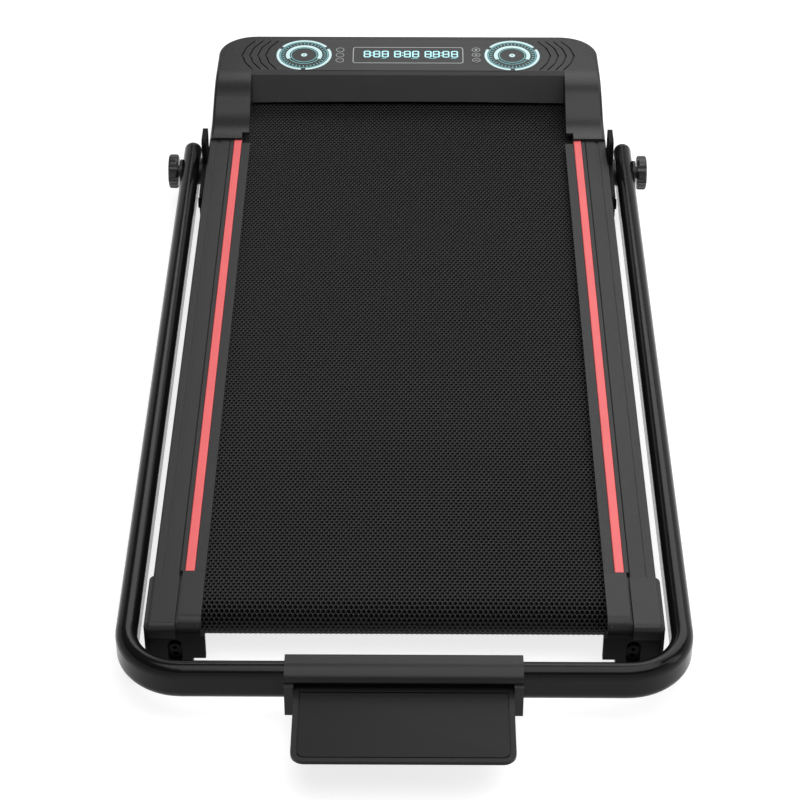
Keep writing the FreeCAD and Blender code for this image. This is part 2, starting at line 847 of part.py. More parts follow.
def build_rear_brackets():
    """Roller carriers under the rear caps, each with an axle slot and a tension bolt."""
    inner_x = roller_half + S.bracket_gap
    outer_x = rail_outer_x - S.seam
    tongue_x = rail_inner_x - S.bracket_inset
    rear_y = cap_rear_y + S.bracket_gap
    slot_half = S.tension_travel + S.axle_radius
    slot_rise = S.axle_radius + S.running_fit
    floor_y = rear_y + S.recess_depth
    rise = (S.frame_clearance, frame_top)
    tongue_rise = (S.frame_clearance + S.tongue_lift, frame_top)
    recess_half = S.recess_straight / 2
    recess_z = roller_z - recess_half / 2
    head_y = rear_y + S.tension_head_setback
    shank_length = rear_roller_y - slot_rise - floor_y
    bolts = []
    for side in (LEFT, RIGHT):
        bolt_x = side * (rail_inner_x + S.tension_offset)
        block = box((side * inner_x, side * outer_x), (rear_y, frame_rear_y), rise)
        tongue = box((side * tongue_x, side * inner_x), (rear_y, floor_y), tongue_rise)
        slot = box(
            (side * inner_x, side * (frame_outer_x - S.rail_wall)),
            (rear_roller_y - slot_half, rear_roller_y + slot_half),
            (roller_z - slot_rise, roller_z + slot_rise),
        )
        recess = new_body()
        centres = [(bolt_x, recess_z - recess_half), (bolt_x, recess_z + recess_half)]
        pad(recess, obround(sketch_on(recess, "XZ", -floor_y), *centres, S.recess_radius), S.recess_depth)
        hole_radius = S.tension_bolt_radius + S.seam
        bolt_hole = cylinder("y", hole_radius, rear_roller_y - floor_y, bolt_x, floor_y, roller_z)
        spare = cylinder("y", S.spare_hole_radius, S.recess_depth, bolt_x, floor_y, recess_z - recess_half)
        carrier = join("cut", join("fuse", block, tongue), slot, recess, bolt_hole, spare)
        node(f"rear_bracket_{side_name(side)}", carrier)
        head = cylinder("y", S.tension_head_radius, floor_y - head_y, bolt_x, head_y, roller_z)
        socket = cylinder("y", S.tension_bolt_radius / 2, S.recess_depth / 2, bolt_x, head_y, roller_z)
        shank = cylinder("y", S.tension_bolt_radius, shank_length, bolt_x, floor_y, roller_z)
        bolts.append(join("cut", join("fuse", head, shank), socket))
    node("belt_tension_bolts", join("group", *bolts))


def build_rollers():
    bore = S.roller_radius - S.roller_wall
    reaches = {"rear": frame_outer_x - S.rail_wall - S.seam, "front": frame_outer_x - S.seam}
    for name, y in (("rear", rear_roller_y), ("front", front_roller_y)):
        node(f"{name}_roller", ring((-roller_half, roller_half), bore, S.roller_radius, y, roller_z))
        rings = []
        for side in (LEFT, RIGHT):
            span = (side * (roller_half - S.bearing_width), side * roller_half)
            rings.append(ring(span, S.axle_radius + S.running_fit, bore, y, roller_z))
        node(f"{name}_roller_bearings", join("group", *rings))
        node(f"{name}_roller_axle", rod((-reaches[name], reaches[name]), S.axle_radius, y, roller_z))


def build_running_belt():
    body = new_body()
    half = S.belt_width / 2
    centres = [(rear_roller_y, roller_z), (front_roller_y, roller_z)]
    sketch = obround(sketch_on(body, "YZ", -half), *centres, belt_outer_radius)
    pad(body, obround(sketch, *centres, belt_inner_radius), S.belt_width)
    node("running_belt", body)


def console_z(y, depth):
    """Height of the console, or of a face at a depth below it, at a place along Y."""
    return S.console_height + (y - console_rear_y) * tilt_tan - as_size(depth) / tilt_cos


def hood_plan(sketch, inset):
    """Plan of the hood: sides that draw in towards the rounded front corners."""
    half = hood_half - inset
    nose = nose_half - inset
    front = front_y - inset
    corners = [
        (-half, leg_end_y + inset),
        (half, leg_end_y + inset),
        (nose, front, S.hood_corner_radius - inset),
        (-nose, front, S.hood_corner_radius - inset),
    ]
    return outline(sketch, corners)


def hood_block(inset):
    """The hood's outer form, or the hollow inside it, drawn in by a wall."""
    inset = as_size(inset)
    low = S.frame_clearance
    brink = S.hood_front_height - inset
    envelope = new_body()
    pad(envelope, hood_plan(sketch_on(envelope, "XY", low), inset), brink - low)
    slope = pad(envelope, hood_plan(sketch_on(envelope, "XY", brink), inset), S.console_height)
    slope.UseCustomVector = True
    slope.Direction = Vector(0, -1, 1)
    slope.AlongSketchNormal = True
    slope.setExpression("Direction.y", (-S.hood_bevel).text)
    slope.setExpression("Direction.z", (console_front_z - S.hood_front_height).text)
    toe_z = rail_top + S.leg_toe - inset
    slope_start = leg_end_y + S.leg_toe_length + inset
    shoulder_y = console_rear_y - S.leg_shoulder + inset
    ahead = front_y + S.console_lip
    profile = [
        (leg_end_y - S.hood_bevel, low),
        (ahead, low),
        (ahead, console_z(ahead, inset)),
        (shoulder_y, console_z(shoulder_y, inset), S.leg_shoulder_radius),
        (slope_start, toe_z + S.leg_toe_rise, S.leg_toe_radius),
        (leg_end_y - S.hood_bevel, toe_z),
    ]
    body = new_body()
    reach = hood_half + S.console_lip
    pad(body, outline(sketch_on(body, "YZ", -reach), profile), reach * 2)
    end = box((-reach, reach), (leg_end_y + inset, ahead), (low, console_front_z + S.console_lip))
    return join("common", body, join("common", envelope, end))


def round_top_edges(item):
    """Round the hood's outer top edges: the console's front, its corners and both sides."""
    document.recompute()
    toe_z = (rail_top + S.leg_toe).value
    radius = S.hood_edge_radius.value
    chosen = []
    for number, edge in enumerate(item.Shape.Edges, start=1):
        bounds = edge.BoundBox
        across = bounds.XMin < 0 < bounds.XMax and bounds.YMax < console_front_y.value - radius
        upright = bounds.ZMin < toe_z - radius
        if not across and not upright:
            chosen.append((number, radius, radius))
    feature = document.addObject("Part::Fillet", "rounded")
    feature.Base = item
    feature.Edges = chosen
    return feature


def leg_opening(inset):
    """The space between the hood's legs, up to the console's rear edge."""
    half = leg_inner_x + inset
    top = console_front_z + S.console_lip * 2
    return box((-half, half), (leg_end_y - S.console_lip, console_rear_y), (0, top))


def brow_bevel():
    """The slope cut along the console's rear edge between the legs."""
    body = new_body()
    half = leg_inner_x
    edge_y = console_rear_y + S.console_lip
    edge_z = console_z(edge_y, 0)
    corners = [
        (console_rear_y - S.console_lip, edge_z),
        (console_rear_y - S.console_lip, S.console_height - S.console_lip),
        (console_rear_y, S.console_height - S.console_lip),
        (edge_y, edge_z),
    ]
    pad(body, outline(sketch_on(body, "YZ", -half), corners), half * 2)
    return body


def brow_block():
    """The solid band behind the console's rear edge, above the belt guard."""
    half = leg_inner_x + S.hood_wall
    depth = S.console_lip + S.hood_wall
    low = S.console_height - S.console_lip
    return box((-half, half), (console_rear_y, console_rear_y + depth), (low, console_front_z))


def chevron(sketch, side, number):
    """One bent slot: a thin band through five points, opening towards the middle."""
    tip = hood_half - S.slot_margin - S.slot_pitch * number
    middle = S.console_centre
    width = S.slot_width
    bends = [
        (S.slot_run_outer, S.slot_half_outer),
        (S.slot_run, S.slot_half),
        (0, 0),
        (S.slot_run, -S.slot_half),
        (S.slot_run_outer, -S.slot_half_outer),
    ]
    corners = [(side * (tip - run), middle + rise) for run, rise in bends]
    corners += [(side * (tip - run - width), middle + rise) for run, rise in reversed(bends)]
    outline(sketch, corners)


def console_holes():
    """Key and lamp places as (x, along the console)."""
    rows = [S.console_centre + S.key_pitch * step for step in (1, 0, -1)]
    return [(side * S.key_column, row) for side in (LEFT, RIGHT) for row in rows]


def build_hood():
    outer = join("cut", round_top_edges(hood_block(0)), leg_opening(0), brow_bevel())
    hollow = join("cut", hood_block(S.hood_wall), leg_opening(S.hood_wall), brow_block())
    slots = new_body()
    for side in (LEFT, RIGHT):
        for number in range(int(S.slot_count.value)):
            sketch = sketch_on(slots, "XY", -S.hood_wall * 2)
            chevron(sketch, side, number)
            pad(slots, sketch, S.hood_wall * 4).AllowMultiFace = True
    on_console(slots, 0, 0)
    recess = new_body()
    plate_outline(recess, S.seam, S.overlay_proud - S.overlay_thickness)
    on_console(recess, 0, 0)
    depth = S.hood_wall + S.joint_gap
    holes = [
        console_disc(S.key_radius + S.joint_gap, x, along, depth, -depth)
        for x, along in console_holes()
    ]
    notches = [
        box(
            (side * leg_inner_x, side * (leg_inner_x + S.leg_notch_width)),
            (leg_end_y, leg_end_y + S.leg_notch_length),
            (S.frame_clearance, S.console_height),
        )
        for side in (LEFT, RIGHT)
    ]
    port = box(inlet_span(S.seam), (front_y - S.inlet_depth, front_y), inlet_rise(S.seam))
    low, seat = S.frame_clearance, rail_top + S.seam
    over_rails = box((-hood_half, hood_half), (leg_end_y, rail_front_y + S.seam), (low, seat))
    over_deck = box((-frame_outer_x, frame_outer_x), (leg_end_y, console_rear_y), (low, seat))
    openings = [slots, recess, port, over_rails, over_deck]
    node("motor_hood", join("cut", outer, hollow, *openings, *holes, *notches))


def plate_outline(body, grow, low):
    """The console plate: a long plate with round ends, padded upwards in the console plane."""
    half = hood_half - S.overlay_margin
    centres = [(-half, S.console_centre), (half, S.console_centre)]
    sketch = obround(sketch_on(body, "XY", low), *centres, S.overlay_radius + grow)
    return pad(body, sketch, S.overlay_thickness)


def build_console():
    overlay = new_body()
    plate_outline(overlay, 0, S.overlay_proud - S.overlay_thickness)
    for x, along in console_holes():
        hole = circle(sketch_on(overlay, "XY", S.overlay_proud), x, along, S.key_radius + S.joint_gap)
        pocket(overlay, hole, S.overlay_thickness)
    node("console_overlay", on_console(overlay, 0, 0))
    ceiling = S.hood_wall
    flange_top = ceiling + S.joint_gap
    board_top = flange_top + S.key_flange + S.key_travel + S.switch_height
    plate = document.addObject("Part::Box", "plate")
    bind(plate, Length=S.board_length, Width=S.board_depth, Height=S.board_thickness)
    start = S.console_centre - S.board_depth / 2
    on_console(plate, -S.board_length / 2, start, board_top + S.board_thickness)
    posts = [
        console_disc(
            S.standoff_radius,
            side * (S.board_length / 2 - S.standoff_radius),
            S.console_centre + row * (S.board_depth / 2 - S.standoff_radius),
            board_top,
            ceiling,
        )
        for side in (LEFT, RIGHT)
        for row in (-1, 1)
    ]
    node("display_board", join("fuse", plate, *posts))
    places = console_holes()
    lamps = [console_disc(S.key_radius, x, along, board_top, -S.overlay_proud) for x, along in places[:3]]
    node("indicator_lamps", join("group", *lamps))
    for name, (x, along) in zip(("start", "faster", "slower"), places[3:]):
        cap = console_disc(S.key_radius, x, along, flange_top, -(S.overlay_proud + S.key_proud))
        flange_radius = S.key_radius + S.joint_gap * 2
        flange = console_disc(flange_radius, x, along, flange_top + S.key_flange, flange_top)
        node(f"key_{name}", join("fuse", cap, flange))
    speaker_low = ceiling + S.speaker_depth
    speaker_x = hood_half - S.speaker_margin
    cones = [
        console_disc(S.speaker_radius, side * speaker_x, S.console_centre, speaker_low, ceiling)
        for side in (LEFT, RIGHT)
    ]
    node("speakers", join("group", *cones))


def build_guard():
    """Upright panel between the hood's legs, just clear of the belt, with an arched lower edge."""
    half = leg_inner_x - S.seam
    low = S.belt_height + S.guard_gap
    high = S.console_height - S.console_lip - S.seam
    arch_radius = half * half * S.guard_arch_share / S.guard_arch
    corners = [(-half, high), (-half, low), (0, low + S.guard_arch, arch_radius), (half, low), (half, high)]
    body = new_body()
    sketch = outline(sketch_on(body, "XZ", -(console_rear_y + S.guard_thickness)), corners)
    pad(body, sketch, S.guard_thickness)
    node("belt_guard", body)


def wheel_places():
    middle = frame_inner_x - S.fork_plate - S.joint_gap - S.wheel_width / 2
    return [(side, side * middle) for side in (LEFT, RIGHT)]


def build_pan():
    """Steel floor of the motor bay, screwed under the frame, cut out around the wheels."""
    top = S.frame_clearance
    half = frame_outer_x
    rear = pan_rear_y
    front = front_y - S.pan_inset
    body = new_body()
    plan = [
        (-half, rear),
        (half, rear),
        (half, front, S.hood_corner_radius - S.pan_inset),
        (-half, front, S.hood_corner_radius - S.pan_inset),
    ]
    pad(body, outline(sketch_on(body, "XY", top - S.pan_thickness), plan), S.pan_thickness)
    wheel_y = front_roller_y + S.wheel_ahead
    clear = S.fork_length / 2 + S.seam
    for _, x in wheel_places():
        across = S.wheel_width / 2 + S.joint_gap + S.fork_plate + S.seam
        hole = [
            (x - across, wheel_y - clear),
            (x + across, wheel_y - clear),
            (x + across, wheel_y + clear),
            (x - across, wheel_y + clear),
        ]
        pocket(body, outline(sketch_on(body, "XY", top), hole), S.pan_thickness)
    screw_x = (frame_inner_x + frame_outer_x) / 2
    first = rear + S.pan_inset * 2
    last = frame_front_y - S.pan_inset * 2
    screws = []
    for side in (LEFT, RIGHT):
        for y in (first, (first + last) / 2, last):
            hole = circle(sketch_on(body, "XY", top), side * screw_x, y, S.screw_radius)
            pocket(body, hole, S.pan_thickness)
            base = top - S.pan_thickness - S.screw_head_height
            head = cylinder("z", S.screw_head_radius, S.screw_head_height, side * screw_x, y, base)
            length = S.pan_thickness + S.screw_head_height
            shank = cylinder("z", S.screw_radius, length, side * screw_x, y, base)
            screws.append(join("fuse", head, shank))
    node("motor_pan", body)
    node("pan_screws", join("group", *screws))


def pulley(inner_x, radius, bore, y, z):
    """A flanged belt pulley on the left of the machine, outwards from an x coordinate."""
    width = S.pulley_width
    rim = (width - S.drive_belt_width) / 2 - S.joint_gap
    flange = radius + S.pulley_rim
    corners = [
        (-inner_x, bore),
        (-inner_x, flange),
        (-(inner_x + rim), flange),
        (-(inner_x + rim), radius),
        (-(inner_x + width - rim), radius),
        (-(inner_x + width - rim), flange),
        (-(inner_x + width), flange),
        (-(inner_x + width), bore),
    ]
    return turned(corners, y, z)


def build_drive():
    bay_floor = S.frame_clearance
    end = motor_start - S.motor_length
    axis = S.motor_axis_height
    hollow = S.motor_radius - S.frame_tube_wall
    case = turned(
        [
            (-motor_start, S.shaft_radius + S.running_fit),
            (-motor_start, S.motor_radius - S.motor_shield),
            (-(motor_start - S.motor_shield), S.motor_radius),
            (-(end + S.motor_shield), S.motor_radius),
            (-end, S.motor_radius - S.motor_shield),
            (-end, S.shaft_radius + S.running_fit),
            (-(end + S.motor_shield), S.shaft_radius + S.running_fit),
            (-(end + S.motor_shield), hollow),
            (-(motor_start - S.motor_shield), hollow),
            (-(motor_start - S.motor_shield), S.shaft_radius + S.running_fit),
        ],
        motor_y,
        axis,
    )
    node("motor_housing", case)
    armature = hollow - S.frame_tube_wall
    inset = S.motor_shield * 2
    fan_start = end - S.joint_gap * 3
    pulley_outer = pulley_inner_x + S.pulley_width
    rotor = turned(
        [
            (-pulley_outer, 0),
            (-pulley_outer, S.shaft_radius),
            (-(motor_start - inset), S.shaft_radius),
            (-(motor_start - inset), armature),
            (-(end + inset), armature),
            (-(end + inset), S.shaft_radius),
            (-(fan_start - S.fan_width), S.shaft_radius),
            (-(fan_start - S.fan_width), 0),
        ],
        motor_y,
        axis,
    )
    node("motor_rotor", rotor)
    node("motor_pulley", pulley(pulley_inner_x, S.motor_pulley_radius, S.shaft_radius, motor_y, axis))
    fan_span = (-fan_start, -(fan_start - S.fan_width))
    node("motor_fan", ring(fan_span, S.shaft_radius, S.fan_radius, motor_y, axis))
    bore = S.axle_radius + S.running_fit
    wheel = pulley(pulley_inner_x, S.roller_pulley_radius, bore, front_roller_y, roller_z)
    hub = ring((-pulley_inner_x, -roller_half), bore, S.roller_radius, front_roller_y, roller_z)
    node("roller_pulley", join("fuse", wheel, hub))
    belt = new_body()
    belt_x = -(pulley_inner_x + (S.pulley_width + S.drive_belt_width) / 2)
    sketch = sketch_on(belt, "YZ", belt_x)
    centres = [(front_roller_y, roller_z), (motor_y, axis)]
    for gap in (S.joint_gap, S.joint_gap + S.drive_belt_thickness):
        obround(sketch, *centres, S.roller_pulley_radius + gap, S.motor_pulley_radius + gap)
    pad(belt, sketch, S.drive_belt_width)
    node("drive_belt", belt)
    middle = motor_start - S.motor_length / 2
    saddle = box(
        (-(middle + S.mount_length / 2), -(middle - S.mount_length / 2)),
        (motor_y - S.mount_width / 2, motor_y + S.mount_width / 2),
        (bay_floor, bay_floor + S.mount_height),
    )
    cradle = rod((-motor_start, -end), S.motor_radius, motor_y, axis)
    node("motor_mount", join("cut", saddle, cradle))
    start, stop = S.controller_start, S.controller_start + S.controller_length
    rear = motor_y - S.controller_width + S.motor_radius / 2
    lid = bay_floor + S.controller_height
    case_box = box((start, stop), (rear, rear + S.controller_width), (bay_floor, lid))
    step = (S.controller_length - S.fin_thickness) / (S.fin_count - 1)
    fins = [
        box(
            (start + step * number, start + step * number + S.fin_thickness),
            (rear, rear + S.controller_width),
            (lid, lid + S.fin_height),
        )
        for number in range(int(S.fin_count.value))
    ]
    node("motor_controller", join("fuse", case_box, *fins))


def inlet_span(grow):
    half = S.inlet_width / 2 + grow
    return (inlet_x - half, inlet_x + half)


def inlet_rise(grow):
    half = S.inlet_height / 2 + grow
    return (S.inlet_axis_height - half, S.inlet_axis_height + half)


def build_inlet():
    """Power inlet and rocker in one frame, in the hood's front."""
    face = front_y - S.inlet_setback
    back = front_y - S.inlet_depth
    height = S.inlet_axis_height
    frame = box(inlet_span(0), (back, face), inlet_rise(0))
    edge = (S.inlet_height - S.rocker_height) / 2
    mouth_x = inlet_x + S.inlet_width / 2 - edge - S.mouth_width / 2
    rocker_x = inlet_x - S.inlet_width / 2 + edge + S.rocker_width / 2
    mouth_half = S.mouth_width / 2
    mouth = box(
        (mouth_x - mouth_half, mouth_x + mouth_half),
        (face - S.mouth_depth, face),
        (height - S.mouth_height / 2, height + S.mouth_height / 2),
    )
    across = S.rocker_width / 2
    well = box(
        (rocker_x - across - S.joint_gap, rocker_x + across + S.joint_gap),
        (face - S.mouth_depth, face),
        (height - S.rocker_height / 2 - S.joint_gap, height + S.rocker_height / 2 + S.joint_gap),
    )
    pin_reach = across + S.joint_gap * 2
    pin_span = (rocker_x - pin_reach, rocker_x + pin_reach)
    pin_y = face - S.rocker_depth / 2
    pin_hole = rod(pin_span, S.rocker_pin_radius + S.running_fit, pin_y, height)
    prongs = []
    for step in (-1, 0, 1):
        prong_x = mouth_x + S.prong_pitch * step
        prongs.append(
            box(
                (prong_x - S.prong_width / 2, prong_x + S.prong_width / 2),
                (face - S.mouth_depth, face - S.mouth_depth / 4),
                (height - S.prong_height / 2, height + S.prong_height / 2),
            )
        )
    shell = join("cut", frame, mouth, well, pin_hole)
    node("power_inlet", join("fuse", shell, *prongs))
    body = new_body(rocker_x - across, pin_y, height)
    half = S.rocker_height / 2 - S.joint_gap * 3
    deep = S.rocker_depth / 2
    rise = Size("tan(sizes.rocker_tilt * 1 deg)", math.tan(math.radians(S.rocker_tilt.value))) * half
    face_corners = [(deep - rise, -half), (deep - rise / 2, 0), (deep, half)]
    back_corners = [(-deep, half / 2), (-deep, -half / 2)]
    pad(body, outline(sketch_on(body, "YZ"), face_corners + back_corners), S.rocker_width)
    pin = rod(pin_span, S.rocker_pin_radius, pin_y, height)
    node("power_rocker", join("fuse", body, pin))


def build_feet():
    feet = []
    rear_y = rear_roller_y + S.foot_rear_inset - S.foot_length / 2
    front_foot_y = pan_rear_y - S.foot_front_gap - S.foot_length / 2
    for side in (LEFT, RIGHT):
        for y in (rear_y, front_foot_y):
            middle = side * (frame_outer_x - S.foot_width / 2)
            body = new_body(middle, y, S.frame_clearance)
            half_x, half_y = S.foot_width / 2, S.foot_length / 2
            corners = [(-half_x, -half_y), (half_x, -half_y), (half_x, half_y), (-half_x, half_y)]
            sketch = outline(sketch_on(body, "XY"), [(u, v, S.foot_corner_radius) for u, v in corners])
            feature = pad(body, sketch, S.frame_clearance, taper=-S.foot_taper)
            feature.Reversed = True
            feet.append(body)
    node("rubber_feet", join("group", *feet))


def build_wheels():
    y = front_roller_y + S.wheel_ahead
    z = S.wheel_radius + S.wheel_lift
    forks = []
    for side, x in wheel_places():
        half = S.wheel_width / 2
        round_edge = S.wheel_tread_radius
        wheel = turned(
            [
                (-half, S.wheel_bore + S.running_fit),
                (-half, S.wheel_radius, round_edge),
                (half, S.wheel_radius, round_edge),
                (half, S.wheel_bore + S.running_fit),
            ],
            y,
            z,
            x,
        )
        node(f"transport_wheel_{side_name(side)}", wheel)
        plates = []
        top = S.frame_clearance + S.fork_height
        for edge in (LEFT, RIGHT):
            inner = x + edge * (half + S.joint_gap)
            plates.append(
                box(
                    (inner, inner + edge * S.fork_plate),
                    (y - S.fork_length / 2, y + S.fork_length / 2),
                    (z - S.wheel_bore * 2, top),
                )
            )
        bridge = box(
            (x - half - S.joint_gap, x + half + S.joint_gap),
            (y - S.fork_length / 2, y + S.fork_length / 2),
            (top - S.fork_plate, top),
        )
        reach = half + S.joint_gap + S.fork_plate
        pin = rod((x - reach, x + reach), S.wheel_bore, y, z)
        forks.append(join("fuse", *plates, bridge, pin))
    node("wheel_forks", join("group", *forks))


def hinge_bolt_places():
    last = pivot_y - S.hinge_tail + S.hinge_bolt_head * 1.5
    return [last, last + S.hinge_bolt_pitch]


def build_hinges():
    """Pivot brackets on the rail sides, each with an upright that steadies the raised handrail."""
    low = S.pivot_height - S.hinge_base_low
    high = S.pivot_height + S.hinge_base_high
    top = S.pivot_height + S.hinge_upright
    half = S.hinge_upright_half
    bolts = []
    for side in (LEFT, RIGHT):
        body = new_body()
        corners = [
            (pivot_y - S.hinge_tail, low, S.hinge_corner_radius),
            (pivot_y + half, low, S.hinge_corner_radius),
            (pivot_y + half, top, S.hinge_corner_radius),
            (pivot_y - half, top, S.hinge_corner_radius),
            (pivot_y - half, high + S.hinge_corner_radius),
            (pivot_y - S.hinge_tail, high, S.hinge_corner_radius),
        ]
        start = bracket_inner_x if side == RIGHT else -bracket_outer_x
        pad(body, outline(sketch_on(body, "YZ", start), corners), S.hinge_plate)
        wall = S.hinge_dish_wall
        dish = [
            (pivot_y - half + wall, S.pivot_height + S.spacer_radius + wall),
            (pivot_y + half - wall, S.pivot_height + S.spacer_radius + wall),
            (pivot_y + half - wall, top - wall),
            (pivot_y - half + wall, top - wall),
        ]
        face_x = side * bracket_outer_x
        axis_z = S.pivot_height
        pocket(body, outline(sketch_on(body, "YZ", face_x), dish), S.hinge_dish_depth, side == LEFT)
        bore = circle(sketch_on(body, "YZ", face_x), pivot_y, axis_z, S.stud_radius + S.running_fit)
        pocket(body, bore, S.hinge_plate, side == LEFT)
        for y in hinge_bolt_places():
            hole = circle(sketch_on(body, "YZ", face_x), y, axis_z, S.hinge_bolt_radius)
            pocket(body, hole, S.hinge_plate, side == LEFT)
            shank = rod((side * frame_outer_x, face_x), S.hinge_bolt_radius, y, axis_z)
            head_x = side * (bracket_outer_x + S.hinge_bolt_head_height)
            head = rod((face_x, head_x), S.hinge_bolt_head, y, axis_z)
            bolts.append(join("fuse", shank, head))
        node(f"hinge_bracket_{side_name(side)}", body)
    node("hinge_bolts", join("group", *bolts))


def tube_section(body, shrink):
    """Flat oval section at the left tube end, square to the arm."""
    rise = (S.tube_height - S.tube_width) / 2
    sketch = sketch_on(body, "XZ", -(pivot_y + S.tube_past_pivot))
    return obround(sketch, (-tube_x, -rise), (-tube_x, rise), S.tube_width / 2 - shrink)


TUBE_PATH_EDGES = 5


def tube_path(body):
    """Middle line of the tube: two arms, two bends and the crossbar."""
    end = pivot_y + S.tube_past_pivot
    bend = S.tube_corner_radius
    corners = [(-tube_x, end), (-tube_x, crossbar_y, bend), (tube_x, crossbar_y, bend), (tube_x, end)]
    return outline(sketch_on(body, "XY"), corners, closed=False)


def build_handrail():
    body = new_body(0, 0, S.pivot_height)
    for kind, shrink in (("AdditivePipe", 0), ("SubtractivePipe", S.tube_wall)):
        profile = tube_section(body, shrink)
        path = tube_path(body)
        pipe = body.newObject(f"PartDesign::{kind}", "sweep")
        pipe.Profile = profile
        pipe.Spine = (path, [f"Edge{number}" for number in range(1, TUBE_PATH_EDGES + 1)])
    for plane_x in (-tube_outer_x - S.seam, tube_inner_x - S.seam):
        bore = circle(sketch_on(body, "YZ", plane_x), pivot_y, 0, S.stud_radius + S.joint_gap)
        pocket(body, bore, S.tube_width + S.seam * 2, along_normal=True)
    node("handrail_tube", body)
    rise = (S.tube_height - S.tube_width) / 2
    end = pivot_y + S.tube_past_pivot
    plugs, washers = [], []
    for side in (LEFT, RIGHT):
        centres = [(side * tube_x, -rise), (side * tube_x, rise)]
        plug = new_body(0, 0, S.pivot_height)
        tip = end + S.plug_length
        cap = pad(plug, obround(sketch_on(plug, "XZ", -tip), *centres, S.tube_width / 2), S.plug_length)

        def at_tip(bounds):
            return near(bounds.YMin, tip) and near(bounds.YMax, tip)

        fillet(plug, cap, S.plug_edge_radius, at_tip)
        insert = obround(sketch_on(plug, "XZ", -end), *centres, S.tube_width / 2 - S.tube_wall - S.seam)
        pad(plug, insert, S.plug_insert)
        plugs.append(plug)
        bore = S.stud_radius + S.joint_gap
        spacer = (side * (bracket_outer_x + S.joint_gap), side * tube_inner_x)
        outer = (side * tube_outer_x, side * (tube_outer_x + S.stud_washer))
        washers.append(ring(spacer, bore, S.spacer_radius, pivot_y, S.pivot_height))
        washers.append(ring(outer, bore, S.stud_washer_radius, pivot_y, S.pivot_height))
    node("handrail_end_plugs", join("group", *plugs))
    node("pivot_washers", join("group", *washers))


def build_knobs():
    """Star knobs with their studs, which run through the handrail into the brackets."""
    start = tube_outer_x + S.stud_washer + S.joint_gap
    face = start + S.knob_collar_length
    end = face + S.knob_width
    lobes = int(S.knob_lobes.value)
    for side in (LEFT, RIGHT):
        corners = [
            (side * bracket_inner_x, 0),
            (side * bracket_inner_x, S.stud_radius),
            (side * start, S.stud_radius),
            (side * start, S.knob_collar),
            (side * face, S.knob_collar),
            (side * face, S.knob_radius, S.knob_edge_radius),
            (side * end, S.knob_radius, S.knob_edge_radius),
            (side * end, 0),
        ]
        knob = turned(corners, pivot_y, S.pivot_height)
        distance = S.knob_radius + S.knob_scallop - S.knob_scallop_depth
        cuts = []
        for number in range(lobes):
            angle = 2 * math.pi * number / lobes
            y = pivot_y + distance * math.cos(angle)
            z = S.pivot_height + distance * math.sin(angle)
            cuts.append(rod((side * face, side * end), S.knob_scallop, y, z))
        node(f"knob_{side_name(side)}", join("cut", knob, join("group", *cuts)))


def build_holder():
    """Two-part clamp around the crossbar with ears that carry the tilting tray."""
    half = S.holder_length / 2
    tube_half = S.tube_width / 2
    rise = S.tube_height / 2
    axis = S.pivot_height
    back = crossbar_y + tube_half + S.holder_back_wall
    front = crossbar_y - tube_half - S.holder_front_wall
    lip = crossbar_y - tube_half - S.holder_lip
    top = axis + rise + S.holder_top_wall
    low = axis - rise - S.holder_bottom_wall
    split = S.seam / 2
    lip_low = top - S.holder_lip_height
    clear = S.seam / 2

    def bar_space():
        body = new_body()
        straight = (S.tube_height - S.tube_width) / 2
        sketch = sketch_on(body, "YZ", -half)
        centres = [(crossbar_y, axis - straight), (crossbar_y, axis + straight)]
        pad(body, obround(sketch, *centres, tube_half + clear), S.holder_length)
        return body

    upper = new_body()
    corners = [
        (back, axis + split),
        (back, top, S.holder_crown_radius),
        (lip + S.holder_brow, top, S.holder_brow_radius),
        (lip + S.holder_lip_back, top - S.holder_lip_drop, S.holder_lip_radius),
        (lip, lip_low, S.holder_lip_edge),
        (front, lip_low),
        (front, axis + split),
    ]
    pad(upper, outline(sketch_on(upper, "YZ", -half), corners), S.holder_length)
    node("holder_upper", join("cut", upper, bar_space()))
    lower = new_body()
    corners = [
        (back, axis - split),
        (front, axis - split),
        (front, low),
        (back, low, S.holder_crown_radius),
    ]
    pad(lower, outline(sketch_on(lower, "YZ", -half), corners), S.holder_length)
    pin_y = crossbar_y - tube_half - S.tray_pin_ahead
    ear_rise = (low, lip_low - S.joint_gap)
    ears = [
        box((side * half, side * (half - S.ear_width)), (pin_y - S.ear_margin, front), ear_rise)
        for side in (LEFT, RIGHT)
    ]
    pin_z = axis + S.tray_rise - S.tray_thickness / 2
    pin_hole = rod((-half, half), S.tray_pin_radius, pin_y, pin_z)
    ears = [join("cut", ear, pin_hole) for ear in ears]
    node("holder_lower", join("cut", join("fuse", lower, *ears), bar_space()))
    screw_x = half - S.ear_width * 2
    screw_y = back - S.holder_back_wall / 2 - S.screw_head_radius
    screw_z = low - S.screw_head_height
    screws = [
        cylinder("z", S.screw_head_radius, S.screw_head_height, side * screw_x, screw_y, screw_z)
        for side in (LEFT, RIGHT)
    ]
    node("holder_screws", join("group", *screws))
    pin_span = half - S.ear_width * 2
    pins = [rod((side * half, side * pin_span), S.tray_pin_radius, pin_y, pin_z) for side in (LEFT, RIGHT)]
    node("tray_pins", join("group", *pins))
    build_tray(pin_y, pin_z, half - S.ear_width - S.joint_gap)


